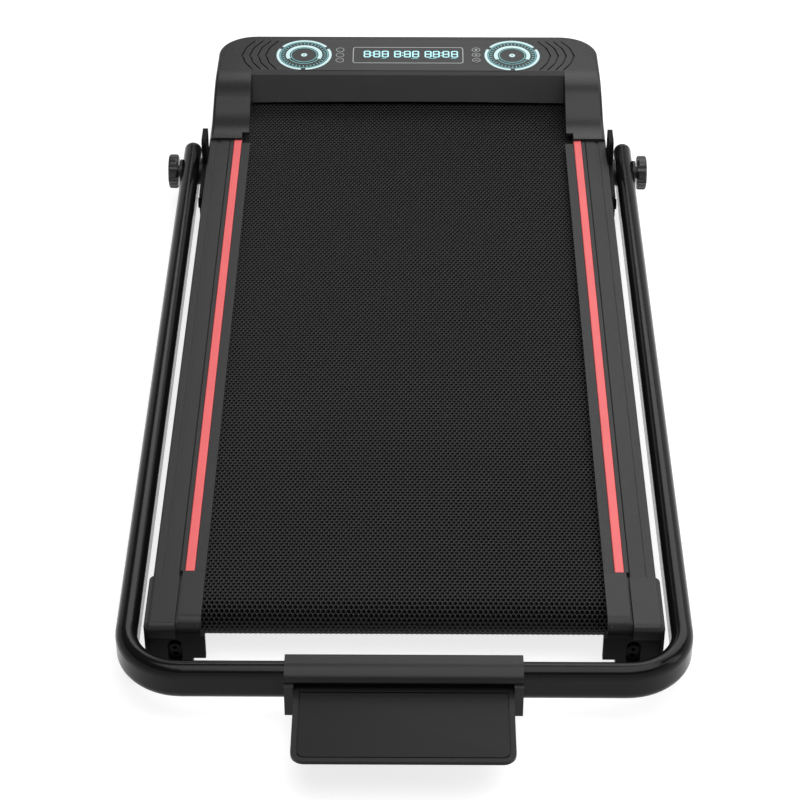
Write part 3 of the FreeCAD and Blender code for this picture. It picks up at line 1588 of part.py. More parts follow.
def build_tray(pin_y, pin_z, half):
    """Flat tray with a raised rim, hung on the pins."""
    high = pin_z + S.tray_thickness / 2
    rear = pin_y + S.tray_tail
    body = new_body()
    plan = [
        (-half, rear),
        (half, rear),
        (half, tray_end_y, S.tray_corner_radius),
        (-half, tray_end_y, S.tray_corner_radius),
    ]
    pad(body, outline(sketch_on(body, "XY", high - S.tray_thickness), plan), S.tray_thickness)
    inner = half - S.tray_rim
    floor = [
        (-inner, pin_y - S.tray_back_rim),
        (inner, pin_y - S.tray_back_rim),
        (inner, tray_end_y + S.tray_rim, S.tray_corner_radius - S.tray_rim),
        (-inner, tray_end_y + S.tray_rim, S.tray_corner_radius - S.tray_rim),
    ]
    pocket(body, outline(sketch_on(body, "XY", high), floor), S.tray_floor_depth)
    bores = [
        rod((side * half, side * (half - S.ear_width)), S.tray_pin_radius + S.running_fit, pin_y, pin_z)
        for side in (LEFT, RIGHT)
    ]
    node("tablet_tray", join("cut", body, *bores))


def build_all():
    build_frame()
    build_crossmembers_and_cushions()
    build_deck()
    build_rails()
    build_caps()
    build_rear_brackets()
    build_rollers()
    build_running_belt()
    build_hood()
    build_console()
    build_guard()
    build_pan()
    build_drive()
    build_inlet()
    build_feet()
    build_wheels()
    build_hinges()
    build_handrail()
    build_knobs()
    build_holder()
    document.recompute()


def check_all():
    """Stop before anything is written if a feature or a sub-part is broken."""
    for item in document.Objects:
        if "Invalid" in item.State or "Error" in item.State:
            raise RuntimeError(f"{item.Name} {item.Label} is {item.State}")
    for name, item in NODES.items():
        if item.Shape.isNull() or not item.Shape.isValid() or not item.Shape.Solids:
            raise RuntimeError(f"{name} has no valid solid")


def write_all():
    os.makedirs("parts", exist_ok=True)
    for name, item in NODES.items():
        item.Shape.exportStep(os.path.join("parts", f"{name}.step"))
    print(len(NODES), "sub-parts written")


build_all()
check_all()
write_all()
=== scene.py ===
"""Looks of a walking pad with a folding handrail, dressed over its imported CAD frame."""
import json
import math

import bmesh
import bpy
from bpy.props import FloatProperty, FloatVectorProperty, IntProperty, PointerProperty
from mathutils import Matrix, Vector


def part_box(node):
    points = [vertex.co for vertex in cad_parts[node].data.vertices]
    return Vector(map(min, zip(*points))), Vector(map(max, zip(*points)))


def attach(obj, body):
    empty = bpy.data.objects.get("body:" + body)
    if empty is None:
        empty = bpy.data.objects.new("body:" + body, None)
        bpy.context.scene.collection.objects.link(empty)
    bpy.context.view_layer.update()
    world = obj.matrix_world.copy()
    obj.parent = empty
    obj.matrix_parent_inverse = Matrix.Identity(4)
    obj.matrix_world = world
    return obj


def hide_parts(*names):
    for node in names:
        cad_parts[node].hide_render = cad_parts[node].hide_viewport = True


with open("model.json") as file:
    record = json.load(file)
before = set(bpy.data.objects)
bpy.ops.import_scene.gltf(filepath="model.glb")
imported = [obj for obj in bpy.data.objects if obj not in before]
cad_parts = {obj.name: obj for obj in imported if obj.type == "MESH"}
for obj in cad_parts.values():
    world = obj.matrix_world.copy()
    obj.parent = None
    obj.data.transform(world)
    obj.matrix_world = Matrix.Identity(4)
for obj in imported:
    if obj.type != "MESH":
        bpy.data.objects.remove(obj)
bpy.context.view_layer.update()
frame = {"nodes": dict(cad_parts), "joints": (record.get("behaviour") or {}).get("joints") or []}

bl_info = {
    "name": "Walking Pad Looks",
    "version": (1, 0, 0),
    "blender": (4, 5, 0),
    "location": "3D View > Sidebar > Walking Pad",
    "description": "Belt, console print, finishes and studio for a walking pad",
    "category": "Object",
}

BELT_LOW, BELT_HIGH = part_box("running_belt")
PLATE_LOW, PLATE_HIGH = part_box("console_overlay")
TRAY_LOW, TRAY_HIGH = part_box("tablet_tray")
PRESS_AXIS = next(joint["axis"] for joint in frame["joints"] if joint["name"] == "start_press")

# How near two points lie to be merged, in a piece and where the belt's ends meet
MERGE_GAP = 1e-6
SEAM_GAP = 5e-5

# Sockets of a colour Mix node
MIX_FACTOR, MIX_FIRST, MIX_SECOND, MIX_RESULT = 0, 6, 7, 2

# Where most of a noise lies between 0 and 1
NOISE_LOW, NOISE_HIGH = 0.3, 0.7

# Grain of the smooth plates and keys: cells to a metre and depth
FINE_GRAIN = {"grain": 2600, "depth": 0.00002}

# Softboxes: where each stands, what it points at, its width and its depth
LAMPS = {
    "overhead": ((0.4, -0.8, 3.0), (0.2, -0.42, 0), 3.0, 3.0),
    "rim": ((1.0, 2.1, 2.55), (0, 0, 0), 3.4, 1.8),
    "side": ((3.0, -0.6, 1.7), (0, 0, 0), 0.9, 2.4),
}


def length(label, about, default):
    """A length that a user may change."""
    return FloatProperty(name=label, description=about, default=default, unit="LENGTH", precision=5)


def colour(label, about, default):
    """A colour that a user may change."""
    return FloatVectorProperty(
        name=label, description=about, default=default, subtype="COLOR", size=3, min=0, max=1
    )


def place_in_room(label, about, default):
    """A point in the studio that a user may change."""
    return FloatVectorProperty(
        name=label, description=about, default=default, subtype="TRANSLATION", unit="LENGTH"
    )


def power(label, about, default):
    """The power of a lamp."""
    return FloatProperty(name=label, description=about, default=default, unit="POWER")


def level(label, about, default):
    """A plain level of light or tone."""
    return FloatProperty(name=label, description=about, default=default, min=0)


class WalkingPadSizes(bpy.types.PropertyGroup):
    """Sizes of the pieces that are modelled here."""

    diamond_width: length("Diamond Width", "Width of one diamond of the belt's tread", 0.00505)
    diamond_length: length("Diamond Length", "Length of one diamond along the belt", 0.00886)
    diamond_depth: length("Diamond Depth", "How deep a diamond is pressed in", 0.0012)
    # Radius of the disc of painted shade, near black, in each pit of the tread
    pit_shade_radius: length("Pit Radius", "Radius of the dark pit in a diamond", 0.0022)
    belt_thickness: length("Belt Thickness", "Thickness of the running belt", 0.0016)
    print_height: length("Print Height", "How far the console print stands proud", 0.00012)
    dial_radius: length("Dial Radius", "Outer radius of the printed dials", 0.036)
    dial_column: length("Dial Column", "Distance of each dial from the middle", 0.136)
    display_width: length("Display Width", "Width of the display's outline", 0.1444)
    display_depth: length("Display Depth", "Depth of the display's outline", 0.039)
    display_line: length("Display Line", "Width of the display's outline stroke", 0.0011)
    digit_width: length("Digit Width", "Width of one digit", 0.0092)
    digit_height: length("Digit Height", "Height of one digit", 0.0158)
    digit_stroke: length("Digit Stroke", "Width of a digit's segment", 0.0018)
    key_column: length("Key Column", "Distance of keys and lamps from the middle", 0.089)
    key_pitch: length("Key Pitch", "Spacing of keys and lamps", 0.0127)
    key_rim: length("Key Rim", "Outer radius of the rim printed on a key", 0.0054)
    key_stroke: length("Key Stroke", "Width of the lines printed on a key", 0.0007)
    key_lift: length("Key Lift", "How far the keys stand above the console plate", 0.0005)
    tray_rim: length("Tray Rim", "Width of the tray's rim", 0.005)
    tray_back: length("Tray Back", "Width of the tray's rim at its hinge", 0.0076)
    tray_hollow: length("Tray Hollow", "Depth of the tray's hollow", 0.0016)
    panel_gap: length("Panel Gap", "Groove between the tray's rim and its panel", 0.0012)
    panel_corner: length("Panel Corner", "Radius of the panel's outer corners", 0.007)
    panel_edge: length("Panel Edge", "Bevel round the top of the panel", 0.0005)


class WalkingPadColours(bpy.types.PropertyGroup):
    """Colours of the finishes."""

    hood: colour("Hood", "Moulded motor hood", (0.0195, 0.0195, 0.0199))
    # Painted light: the guard is coloured far lighter than the hood to stand for light falling on
    # its face
    guard_painted_light: colour("Guard", "Panel between the hood's legs", (0.092, 0.092, 0.093))
    plate: colour("Console Plate", "Printed plate on the console", (0.0205, 0.0208, 0.0211))
    rail: colour("Rails", "Powder-coated side rails", (0.018, 0.018, 0.0183))
    cap: colour("Caps", "Rear end caps", (0.024, 0.024, 0.0244))
    handrail: colour("Handrail", "Powder-coated handrail tube", (0.005, 0.005, 0.0051))
    frame_coat: colour("Frame", "Powder-coated frame and brackets", (0.004, 0.004, 0.0042))
    moulding: colour("Black Mouldings", "Knobs, holder, plugs and inlet", (0.014, 0.014, 0.0143))
    tray: colour("Tray", "Tablet tray and its panel", (0.0128, 0.0128, 0.013))
    accent: colour("Accent Strips", "Red strips in the side rails", (0.72, 0.115, 0.12))
    tread: colour("Belt Tread", "Raised net of the belt's tread", (0.042, 0.042, 0.0425))
    # Painted shade: near black, standing for the shade that falls inside the tread's pits
    pit_shade: colour("Belt Pits", "Pressed-in pits of the tread", (0.0006, 0.0006, 0.0006))
    rubber: colour("Rubber", "Feet, wheels and cushions", (0.013, 0.013, 0.013))
    steel: colour("Plated Steel", "Axles and bearings", (0.58, 0.58, 0.59))
    roller: colour("Roller Steel", "Blackened rollers and pins", (0.05, 0.05, 0.051))
    alloy: colour("Controller Alloy", "Finned case of the motor controller", (0.6, 0.6, 0.61))
    board_dark: colour("Deck Dark", "Dark layers of the deck board", (0.004, 0.004, 0.004))
    board_light: colour("Deck Light", "Light layers of the deck board", (0.016, 0.015, 0.014))
    lacquer: colour("Board Lacquer", "Lacquer of the circuit board", (0.01, 0.09, 0.04))
    lacquer_light: colour("Board Patches", "Paler lacquer over copper", (0.012, 0.12, 0.05))
    track: colour("Board Tracks", "Tracks of the circuit board", (0.05, 0.24, 0.1))
    print_white: colour("Print White", "Pale bands of the console print", (0.52, 0.71, 0.72))
    display: colour("Display", "Lit digits of the display", (0.45, 0.85, 0.88))
    print_teal: colour("Print Teal", "Thin lines of the console print", (0.16, 0.5, 0.52))
    print_grey: colour("Print Grey", "Rims and the display's outline", (0.4, 0.41, 0.41))


class WalkingPadStudio(bpy.types.PropertyGroup):
    """Camera and studio."""

    camera_place: place_in_room("Camera Place", "Where the camera stands", (0.007, -2.3198, 1.7202))
    camera_aim: place_in_room("Camera Aim", "What the camera looks at", (-0.0064, -0.13, 0.07))
    focal: FloatProperty(
        name="Focal Length", description="Lens in millimetres", default=111.96, unit="CAMERA"
    )
    sensor: FloatProperty(
        name="Sensor Width", description="Sensor in millimetres", default=36, unit="CAMERA"
    )
    view_reach: length("View Reach", "How far the camera sees", 60.0)
    sky: level("Sky", "Level of the even studio light", 0.12)
    overhead: power("Overhead", "Power of the softbox above", 93)
    rim: power("Rim", "Power of the softbox beyond the hood", 60)
    side: power("Side", "Power of the lamp on the right", 16)
    floor_reach: length("Floor Reach", "Radius of the floor and the wall round it", 9.0)
    floor_tone: level("Floor Tone", "Grey of the floor that takes the shadow", 0.4)
    floor_white: level("Floor White", "White of the floor in the camera and in reflections", 0.8)
    wall_height: length("Wall Height", "Height of the pale wall round the floor", 4.6)
    wall_steps: IntProperty(
        name="Wall Steps", description="Sides of the round wall", default=96, min=12
    )


# Modelling helpers


def clear_selection():
    """Leave edit mode and select nothing."""
    active = bpy.context.view_layer.objects.active
    if active is not None and active.mode != "OBJECT":
        bpy.ops.object.mode_set(mode="OBJECT")
    bpy.ops.object.select_all(action="DESELECT")


def take(piece):
    """Make one piece the only selected and active object."""
    clear_selection()
    piece.select_set(True)
    bpy.context.view_layer.objects.active = piece


def rename(piece, name):
    """Give a piece and its mesh one name."""
    piece.name = piece.data.name = name
    return piece


def named(name):
    """Name the object that was just added."""
    return rename(bpy.context.object, name)


def edit(piece):
    """Open a piece for editing with everything selected."""
    take(piece)
    bpy.ops.object.mode_set(mode="EDIT")
    bpy.ops.mesh.select_all(action="SELECT")


def leave_edit():
    """Close the piece that is open for editing."""
    bpy.ops.object.mode_set(mode="OBJECT")


def pick(kind, test):
    """Select the vertices, edges or faces of the open piece whose middle passes a test."""
    bpy.ops.mesh.select_mode(type=kind)
    bpy.ops.mesh.select_all(action="DESELECT")
    data = bpy.context.object.data
    mesh = bmesh.from_edit_mesh(data)
    for part in {"VERT": mesh.verts, "EDGE": mesh.edges, "FACE": mesh.faces}[kind]:
        corners = [part] if kind == "VERT" else part.verts
        if test(sum((corner.co for corner in corners), Vector()) / len(corners)):
            part.select_set(True)
    mesh.select_flush_mode()
    bmesh.update_edit_mesh(data)


def close_up(piece, gap=MERGE_GAP):
    """Merge doubled points and turn every face outwards."""
    edit(piece)
    bpy.ops.mesh.remove_doubles(threshold=gap)
    bpy.ops.mesh.normals_make_consistent(inside=False)
    leave_edit()
    return piece


def settle(piece):
    """Put a piece's place into its mesh and leave its object at the origin."""
    take(piece)
    bpy.ops.object.transform_apply(location=True, rotation=True, scale=True)
    return piece


def join_pieces(pieces, name):
    """Join pieces into one object."""
    take(pieces[0])
    for piece in pieces:
        piece.select_set(True)
    bpy.ops.object.join()
    return named(name)


def copy_piece(piece, offset=(0, 0, 0)):
    """A copy of a piece with its own mesh, moved by an offset."""
    take(piece)
    bpy.ops.object.duplicate(linked=False)
    made = bpy.context.object
    made.location = Vector(made.location) + Vector(offset)
    return settle(made)


def repeat(piece, count, offset):
    """Repeat a piece in a row by an applied array."""
    take(piece)
    row = piece.modifiers.new("row", "ARRAY")
    row.use_relative_offset = False
    row.use_constant_offset = True
    row.constant_offset_displace = offset
    row.count = count
    bpy.ops.object.modifier_apply(modifier=row.name)


def raise_flat(piece, height):
    """Give a flat shape its thickness upwards."""
    edit(piece)
    bpy.ops.mesh.extrude_region_move(TRANSFORM_OT_translate={"value": (0, 0, height)})
    leave_edit()
    return close_up(piece)


# Finishes


def add(tree, kind, inputs=None, **settings):
    """Add a shader node, with sockets given as values or as links."""
    node = tree.nodes.new(kind)
    for name, value in settings.items():
        setattr(node, name, value)
    for name, value in (inputs or {}).items():
        if isinstance(value, bpy.types.NodeSocket):
            tree.links.new(value, node.inputs[name])
        else:
            node.inputs[name].default_value = value
    return node


def blank(name):
    """A new material with only its output and a place to read."""
    material = bpy.data.materials.new(name)
    material.use_nodes = True
    tree = material.node_tree
    tree.nodes.clear()
    output = add(tree, "ShaderNodeOutputMaterial")
    place = add(tree, "ShaderNodeTexCoord").outputs["Object"]
    return material, tree, output, place


def shade(base, factor=1.0):
    """A colour made darker or lighter."""
    return tuple(min(1.0, part * factor) for part in base) + (1.0,)


def noise(tree, place, scale, detail, roughness=0.5):
    """A noise of 0 to 1."""
    sockets = {"Vector": place, "Scale": scale, "Detail": detail, "Roughness": roughness}
    return add(tree, "ShaderNodeTexNoise", sockets).outputs["Fac"]


def reckon(tree, operation, first, second):
    """Two values or sockets put together by one operation."""
    return add(tree, "ShaderNodeMath", {0: first, 1: second}, operation=operation).outputs[0]


def stretched(tree, place, scale):
    """Coordinates stretched along their axes."""
    return add(tree, "ShaderNodeMapping", {"Vector": place, "Scale": scale}).outputs[0]


def blend_by(tree, factor, first, second):
    """Mix two colours or sockets by a factor socket."""
    sockets = {MIX_FACTOR: factor, MIX_FIRST: first, MIX_SECOND: second}
    return add(tree, "ShaderNodeMix", sockets, data_type="RGBA").outputs[MIX_RESULT]


def spread(tree, factor, low, high):
    """Spread a noise between two values."""
    return add(tree, "ShaderNodeMapRange", {
        "Value": factor, "From Min": NOISE_LOW, "From Max": NOISE_HIGH,
        "To Min": low, "To Max": high,
    }).outputs["Result"]


def relief(tree, height, strength, depth):
    """Fine relief of a surface."""
    sockets = {"Height": height, "Strength": strength, "Distance": depth}
    return add(tree, "ShaderNodeBump", sockets).outputs["Normal"]


def close_material(tree, output, sockets):
    """End a material in one Principled shader."""
    shader = add(tree, "ShaderNodeBsdfPrincipled", sockets)
    tree.links.new(shader.outputs["BSDF"], output.inputs["Surface"])


def moulded_plastic(name, base, roughness, grain=1500, depth=0.00005, gloss=0.35):
    """Injection-moulded plastic with a spark-eroded grain and a faint mottling."""
    material, tree, output, place = blank(name)
    pores = add(tree, "ShaderNodeTexVoronoi", {"Vector": place, "Scale": grain}).outputs["Distance"]
    fine = noise(tree, place, scale=grain * 0.6, detail=3)
    broad = noise(tree, place, scale=14, detail=4)
    close_material(tree, output, {
        "Base Color": blend_by(tree, broad, shade(base, 0.9), shade(base, 1.1)),
        "Roughness": spread(tree, fine, roughness - 0.05, roughness + 0.07),
        "Specular IOR Level": gloss,
        "Normal": relief(tree, reckon(tree, "ADD", pores, fine), strength=0.35, depth=depth),
    })
    return material


def powder_coat(name, base, roughness, gloss=0.4):
    """Powder coat: a soft orange peel with fine lighter specks."""
    material, tree, output, place = blank(name)
    skin = noise(tree, place, scale=420, detail=2, roughness=0.45)
    speck = noise(tree, place, scale=2520, detail=1)
    broad = noise(tree, place, scale=6, detail=5)
    coat = blend_by(tree, broad, shade(base, 0.92), shade(base, 1.08))
    bright = add(tree, "ShaderNodeMapRange", {
        "Value": speck, "From Min": 0.62, "From Max": 0.8, "To Max": 0.5,
    }).outputs["Result"]
    close_material(tree, output, {
        "Base Color": blend_by(tree, bright, coat, shade(base, 1.9)),
        "Roughness": spread(tree, skin, roughness - 0.05, roughness + 0.06),
        "Specular IOR Level": gloss,
        "Normal": relief(tree, skin, strength=0.25, depth=0.00012),
    })
    return material


def soft_rubber(name, base):
    """Matt rubber with a dusty bloom and fine pores."""
    material, tree, output, place = blank(name)
    pores = noise(tree, place, scale=1800, detail=3)
    bloom = noise(tree, place, scale=40, detail=6, roughness=0.7)
    close_material(tree, output, {
        "Base Color": blend_by(tree, bloom, shade(base, 0.75), shade(base, 1.5)),
        "Roughness": spread(tree, bloom, 0.64, 0.82),
        "Specular IOR Level": 0.3,
        "Normal": relief(tree, pores, strength=0.3, depth=0.00006),
    })
    return material


def turned_steel(name, base, roughness=0.32, stretch=(4, 900, 900)):
    """Turned or drawn steel, plated or blackened: fine lines and cloudy patches."""
    material, tree, output, place = blank(name)
    lines = noise(tree, stretched(tree, place, stretch), scale=1, detail=4)
    cloud = noise(tree, place, scale=55, detail=5)
    close_material(tree, output, {
        "Base Color": blend_by(tree, cloud, shade(base, 0.86), shade(base, 1.1)),
        "Metallic": 1.0,
        "Roughness": spread(tree, lines, roughness - 0.08, roughness + 0.12),
        "Normal": relief(tree, lines, strength=0.15, depth=0.00004),
    })
    return material


def pressed_tread(name, net, pit_shade, cell, radius):
    """Belt rubber: a worn raised net round pits painted near black as shade, one in each cell of
    the tread.
    """
    material, tree, output, place = blank(name)
    centred = add(tree, "ShaderNodeMapping", {
        "Vector": add(tree, "ShaderNodeTexCoord").outputs["UV"],
        "Location": (-cell[0] / 2, -cell[1] / 2, 0),
        "Scale": (*cell, 0),
    }).outputs[0]
    away = add(tree, "ShaderNodeVectorMath", {0: centred}, operation="LENGTH").outputs["Value"]
    grain = noise(tree, place, scale=900, detail=3)
    wear = noise(tree, place, scale=5, detail=6, roughness=0.6)
    top = blend_by(tree, wear, shade(net, 0.85), shade(net, 1.15))
    # Painted shade: a round mask that turns each pit near black
    pit_shade_mask = add(
        tree, "ShaderNodeMapRange", {"Value": away, "From Min": radius, "From Max": radius * 0.88},
        interpolation_type="SMOOTHSTEP",
    ).outputs["Result"]
    close_material(tree, output, {
        "Base Color": blend_by(tree, pit_shade_mask, top, shade(pit_shade)),
        "Roughness": spread(tree, grain, 0.34, 0.46),
        "Specular IOR Level": 0.05,
        "Normal": relief(tree, grain, strength=0.3, depth=0.00005),
    })
    return material


def wood_laminate(name, dark, light):
    """Deck board: dark layered board with long grain."""
    material, tree, output, place = blank(name)
    along = stretched(tree, place, (60, 3, 400))
    grain = noise(tree, along, scale=1, detail=6, roughness=0.65)
    plies = add(
        tree, "ShaderNodeTexWave", {"Vector": place, "Scale": 160, "Distortion": 0.6},
        bands_direction="Z",
    ).outputs["Fac"]
    tone = reckon(tree, "ADD", reckon(tree, "MULTIPLY", 0.5, plies), grain)
    close_material(tree, output, {
        "Base Color": blend_by(tree, tone, shade(dark), shade(light)),
        "Roughness": spread(tree, grain, 0.4, 0.6),
        "Normal": relief(tree, grain, strength=0.2, depth=0.0001),
    })
    return material


def circuit_board(name, lacquer, lacquer_light, track):
    """Printed circuit board: green lacquer with copper tracks under it."""
    material, tree, output, place = blank(name)
    tracks = add(tree, "ShaderNodeTexBrick", {
        "Vector": place, "Scale": 180, "Mortar Size": 0.12,
        "Color1": shade(lacquer), "Color2": shade(lacquer_light), "Mortar": shade(track),
    })
    haze = noise(tree, place, scale=70, detail=3)
    close_material(tree, output, {
        "Base Color": tracks.outputs["Color"],
        "Roughness": spread(tree, haze, 0.25, 0.4),
        "Normal": relief(tree, tracks.outputs["Fac"], strength=0.3, depth=0.00004),
    })
    return material


def screen_ink(name, base, glow=0.0):
    """Screen-printed ink: uneven cover with a faint mesh; its glow is the backlight on the
    display's digits and painted light on the dial print and captions.
    """
    material, tree, output, place = blank(name)
    cover = noise(tree, place, scale=600, detail=3)
    mesh = add(tree, "ShaderNodeTexVoronoi", {"Vector": place, "Scale": 2400}).outputs["Distance"]
    ink = blend_by(tree, cover, shade(base, 0.88), shade(base, 1.06))
    # Emission: on the print, which is no lamp, this is a painted glow that lightens the ink
    close_material(tree, output, {
        "Base Color": ink,
        "Roughness": spread(tree, cover, 0.35, 0.5),
        "Emission Color": ink,
        "Emission Strength": glow,
        "Normal": relief(tree, mesh, strength=0.2, depth=0.00002),
    })
    return material


def dress(material, *nodes):
    """Give CAD nodes a finish through their material slots."""
    for name in nodes:
        slots = frame["nodes"][name].material_slots
        if not slots:
            raise RuntimeError(f"{name} has no material slot")
        for slot in slots:
            slot.material = material


def finish_piece(piece, material, body):
    """Give a new piece its finish in its material slot, and its body."""
    piece.data.materials.clear()
    piece.data.materials.append(material)
    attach(piece, body)
    return piece


# Console places

TILT = math.atan2(PRESS_AXIS[1], -PRESS_AXIS[2])
OUTWARD = Vector((0, -math.sin(TILT), math.cos(TILT)))
UPHILL = Vector((0, math.cos(TILT), math.sin(TILT)))
PLATE_HALF_THICKNESS = 0.0005
PLATE_TOP = (PLATE_LOW + PLATE_HIGH) / 2 + OUTWARD * PLATE_HALF_THICKNESS


def lay_on_console(piece, x=0.0, along=0.0, lift=0.0):
    """Tilt a flat piece to the console and set it on the plate, measured from its middle."""
    piece.rotation_euler = (TILT, 0, 0)
    piece.location = PLATE_TOP + Vector((x, 0, 0)) + UPHILL * along + OUTWARD * lift
    return settle(piece)


def flat_ring(name, outer, inner, steps, gaps=()):
    """A flat ring from an inset disc, open at the given (start, end) angles in degrees."""
    clear_selection()
    bpy.ops.mesh.primitive_circle_add(vertices=steps, radius=outer, fill_type="NGON")
    piece = named(name)
    edit(piece)
    bpy.ops.mesh.inset(thickness=(outer - inner) * math.cos(math.pi / steps))
    pick("FACE", lambda middle: middle.length < inner / 2)
    bpy.ops.mesh.delete(type="FACE")
    if gaps:
        def in_gap(middle):
            turn = math.degrees(math.atan2(middle.y, middle.x)) % 360
            return any(start <= turn <= end for start, end in gaps)

        pick("FACE", in_gap)
        bpy.ops.mesh.delete(type="FACE")
    leave_edit()
    return piece


def flat_bar(name, width, height, x=0.0, y=0.0):
    """A flat rectangular bar."""
    clear_selection()
    bpy.ops.mesh.primitive_plane_add(size=1, location=(x, y, 0))
    piece = named(name)
    piece.scale = (width, height, 1)
    return settle(piece)


def bar_ring(name, width, height, radius, count):
    """Bars spun round a circle, like the ticks of a dial."""
    piece = flat_bar(name, width, height, y=radius)
    edit(piece)
    bpy.ops.mesh.spin(
        steps=count, dupli=True, angle=2 * math.pi, center=(0, 0, 0), axis=(0, 0, 1)
    )
    bpy.ops.mesh.select_all(action="SELECT")
    bpy.ops.mesh.remove_doubles(threshold=MERGE_GAP)
    leave_edit()
    return piece


# Operators


class WALKINGPAD_OT_running_belt(bpy.types.Operator):
    """Press the diamond tread, back it and wrap it round the rollers"""

    bl_idname = "walkingpad.running_belt"
    bl_label = "Running Belt"

    path_steps = 64

    def execute(self, context):
        sizes, colours = context.scene.walking_pad_sizes, context.scene.walking_pad_colours
        half = BELT_HIGH.x
        radius = (BELT_HIGH.z - BELT_LOW.z) / 2
        span = (BELT_HIGH.y - BELT_LOW.y) - 2 * radius
        loop = 2 * span + 2 * math.pi * radius
        rows = round(loop / sizes.diamond_length)
        cell = (sizes.diamond_width, loop / rows)
        belt = self.press(sizes, cell, rows, half, loop)
        self.back(belt, sizes, half)
        self.wrap(belt, radius, span)
        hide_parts("running_belt")
        rubber = pressed_tread("tread_rubber", colours.tread, colours.pit_shade, cell, sizes.pit_shade_radius)
        finish_piece(belt, rubber, "base")
        return {"FINISHED"}

    def press(self, sizes, cell, rows, half, loop):
        """One pressed diamond, repeated over the flat belt and cut to its edges."""
        width, row_length = cell
        columns = math.ceil(2 * half / width) + 1
        clear_selection()
        bpy.ops.mesh.primitive_circle_add(vertices=4, radius=1, fill_type="TRIFAN")
        belt = named("running_belt_tread")
        belt.scale = (width / 2, row_length / 2, 1)
        settle(belt)
        edit(belt)
        pick("VERT", lambda place: place.length < width / 8)
        bpy.ops.transform.translate(value=(0, 0, -sizes.diamond_depth))
        leave_edit()
        repeat(belt, 2, (width / 2, row_length / 2, 0))
        repeat(belt, columns, (width, 0, 0))
        repeat(belt, rows + 1, (0, row_length, 0))
        belt.location = (-width * (columns // 2), 0, 0)
        settle(belt)
        edit(belt)
        bpy.ops.mesh.remove_doubles(threshold=width / 100)
        cuts = (
            ((half, 0, 0), (1, 0, 0)), ((-half, 0, 0), (-1, 0, 0)),
            ((0, 0, 0), (0, -1, 0)), ((0, loop, 0), (0, 1, 0)),
        )
        for place, normal in cuts:
            bpy.ops.mesh.select_all(action="SELECT")
            bpy.ops.mesh.bisect(plane_co=place, plane_no=normal, clear_outer=True)
        leave_edit()
        return belt

    def back(self, belt, sizes, half):
        """Turn the two long edges down and close them by a flat back."""
        edge = half - sizes.diamond_width / 50
        edit(belt)
        pick("EDGE", lambda middle: abs(middle.x) > edge)
        bpy.ops.mesh.extrude_edges_move(
            TRANSFORM_OT_translate={"value": (0, 0, -sizes.diamond_depth)}
        )
        bpy.ops.transform.resize(
            value=(1, 1, 0), center_override=(0, 0, -sizes.belt_thickness)
        )
        bpy.ops.mesh.bridge_edge_loops()
        leave_edit()

    def wrap(self, belt, radius, span):
        """Bend the flat belt round a guide loop through the rollers."""
        guide = bpy.data.objects.new("belt_path", bpy.data.curves.new("belt_path", "CURVE"))
        bpy.context.scene.collection.objects.link(guide)
        guide.data.dimensions = "2D"
        path = guide.data.splines.new("BEZIER")
        # Handles as long as a quarter circle needs
        reach = radius * 4 / 3 * math.tan(math.pi / 8)
        stops = (
            ((-radius, 0), (0, 1)), ((-radius, span), (0, 1)), ((0, span + radius), (1, 0)),
            ((radius, span), (0, -1)), ((radius, 0), (0, -1)), ((0, -radius), (-1, 0)),
            ((-radius, 0), (0, 1)),
        )
        path.bezier_points.add(len(stops) - 1)
        for point, ((x, y), (run_x, run_y)) in zip(path.bezier_points, stops):
            point.handle_left_type = point.handle_right_type = "FREE"
            point.co = (x, y, 0)
            point.handle_left = (x - run_x * reach, y - run_y * reach, 0)
            point.handle_right = (x + run_x * reach, y + run_y * reach, 0)
        guide.data.resolution_u = self.path_steps
        take(belt)
        bend = belt.modifiers.new("bend", "CURVE")
        bend.object = guide
        bend.deform_axis = "POS_Y"
        bpy.ops.object.modifier_apply(modifier=bend.name)
        bpy.data.objects.remove(guide)
        belt.rotation_euler = (0, math.pi / 2, 0)
        belt.location = (0, BELT_LOW.y + radius, BELT_LOW.z + radius)
        settle(belt)
        close_up(belt, SEAM_GAP)


class WALKINGPAD_OT_console_dials(bpy.types.Operator):
    """Print a dial with a broken band, ticks and a hub on each end of the console plate"""

    bl_idname = "walkingpad.console_dials"
    bl_label = "Console Dials"

    # Rings as shares of the dial's radius: outer, inner, steps and the angles left open
    band_rings = {
        "band": (1, 0.9, 144, ((25, 35), (145, 155), (265, 275))),
        "sweep": (0.66, 0.52, 144, ((205, 335),)),
        "hub": (0.11, 0.03, 32, ()),
    }
    line_rings = {
        "inner_line": (0.87, 0.845, 96, ()),
        "sweep_line": (0.48, 0.455, 96, ()),
        "rest_line": (0.6, 0.575, 96, ((0, 204), (336, 360))),
    }
    # Ticks as shares of the dial's radius: width, length and distance from its middle
    tick_shares = (0.03, 0.09, 0.765)
    tick_count = 36
    # Painted glow: the dial's printed bands and lines get a faint emission that lightens them
    white_glow, teal_glow = 0.12, 0.1

    def execute(self, context):
        sizes, colours = context.scene.walking_pad_sizes, context.scene.walking_pad_colours
        bands = self.rings(self.band_rings, sizes.dial_radius)
        lines = self.rings(self.line_rings, sizes.dial_radius)
        ticks = [sizes.dial_radius * share for share in self.tick_shares]
        lines.append(bar_ring("ticks", *ticks, self.tick_count))
        white = screen_ink("print_white", colours.print_white, self.white_glow)
        teal = screen_ink("print_teal", colours.print_teal, self.teal_glow)
        for parts, name, ink in ((bands, "dial_bands", white), (lines, "dial_lines", teal)):
            right = raise_flat(join_pieces(parts, name), sizes.print_height)
            left = rename(copy_piece(right), f"{name}_left")
            rename(right, f"{name}_right")
            for piece, side in ((left, -1), (right, 1)):
                lay_on_console(piece, side * sizes.dial_column)
                finish_piece(piece, ink, "base")
        return {"FINISHED"}

    def rings(self, table, radius):
        """Flat rings of a dial."""
        return [
            flat_ring(name, radius * outer, radius * inner, steps, gaps)
            for name, (outer, inner, steps, gaps) in table.items()
        ]


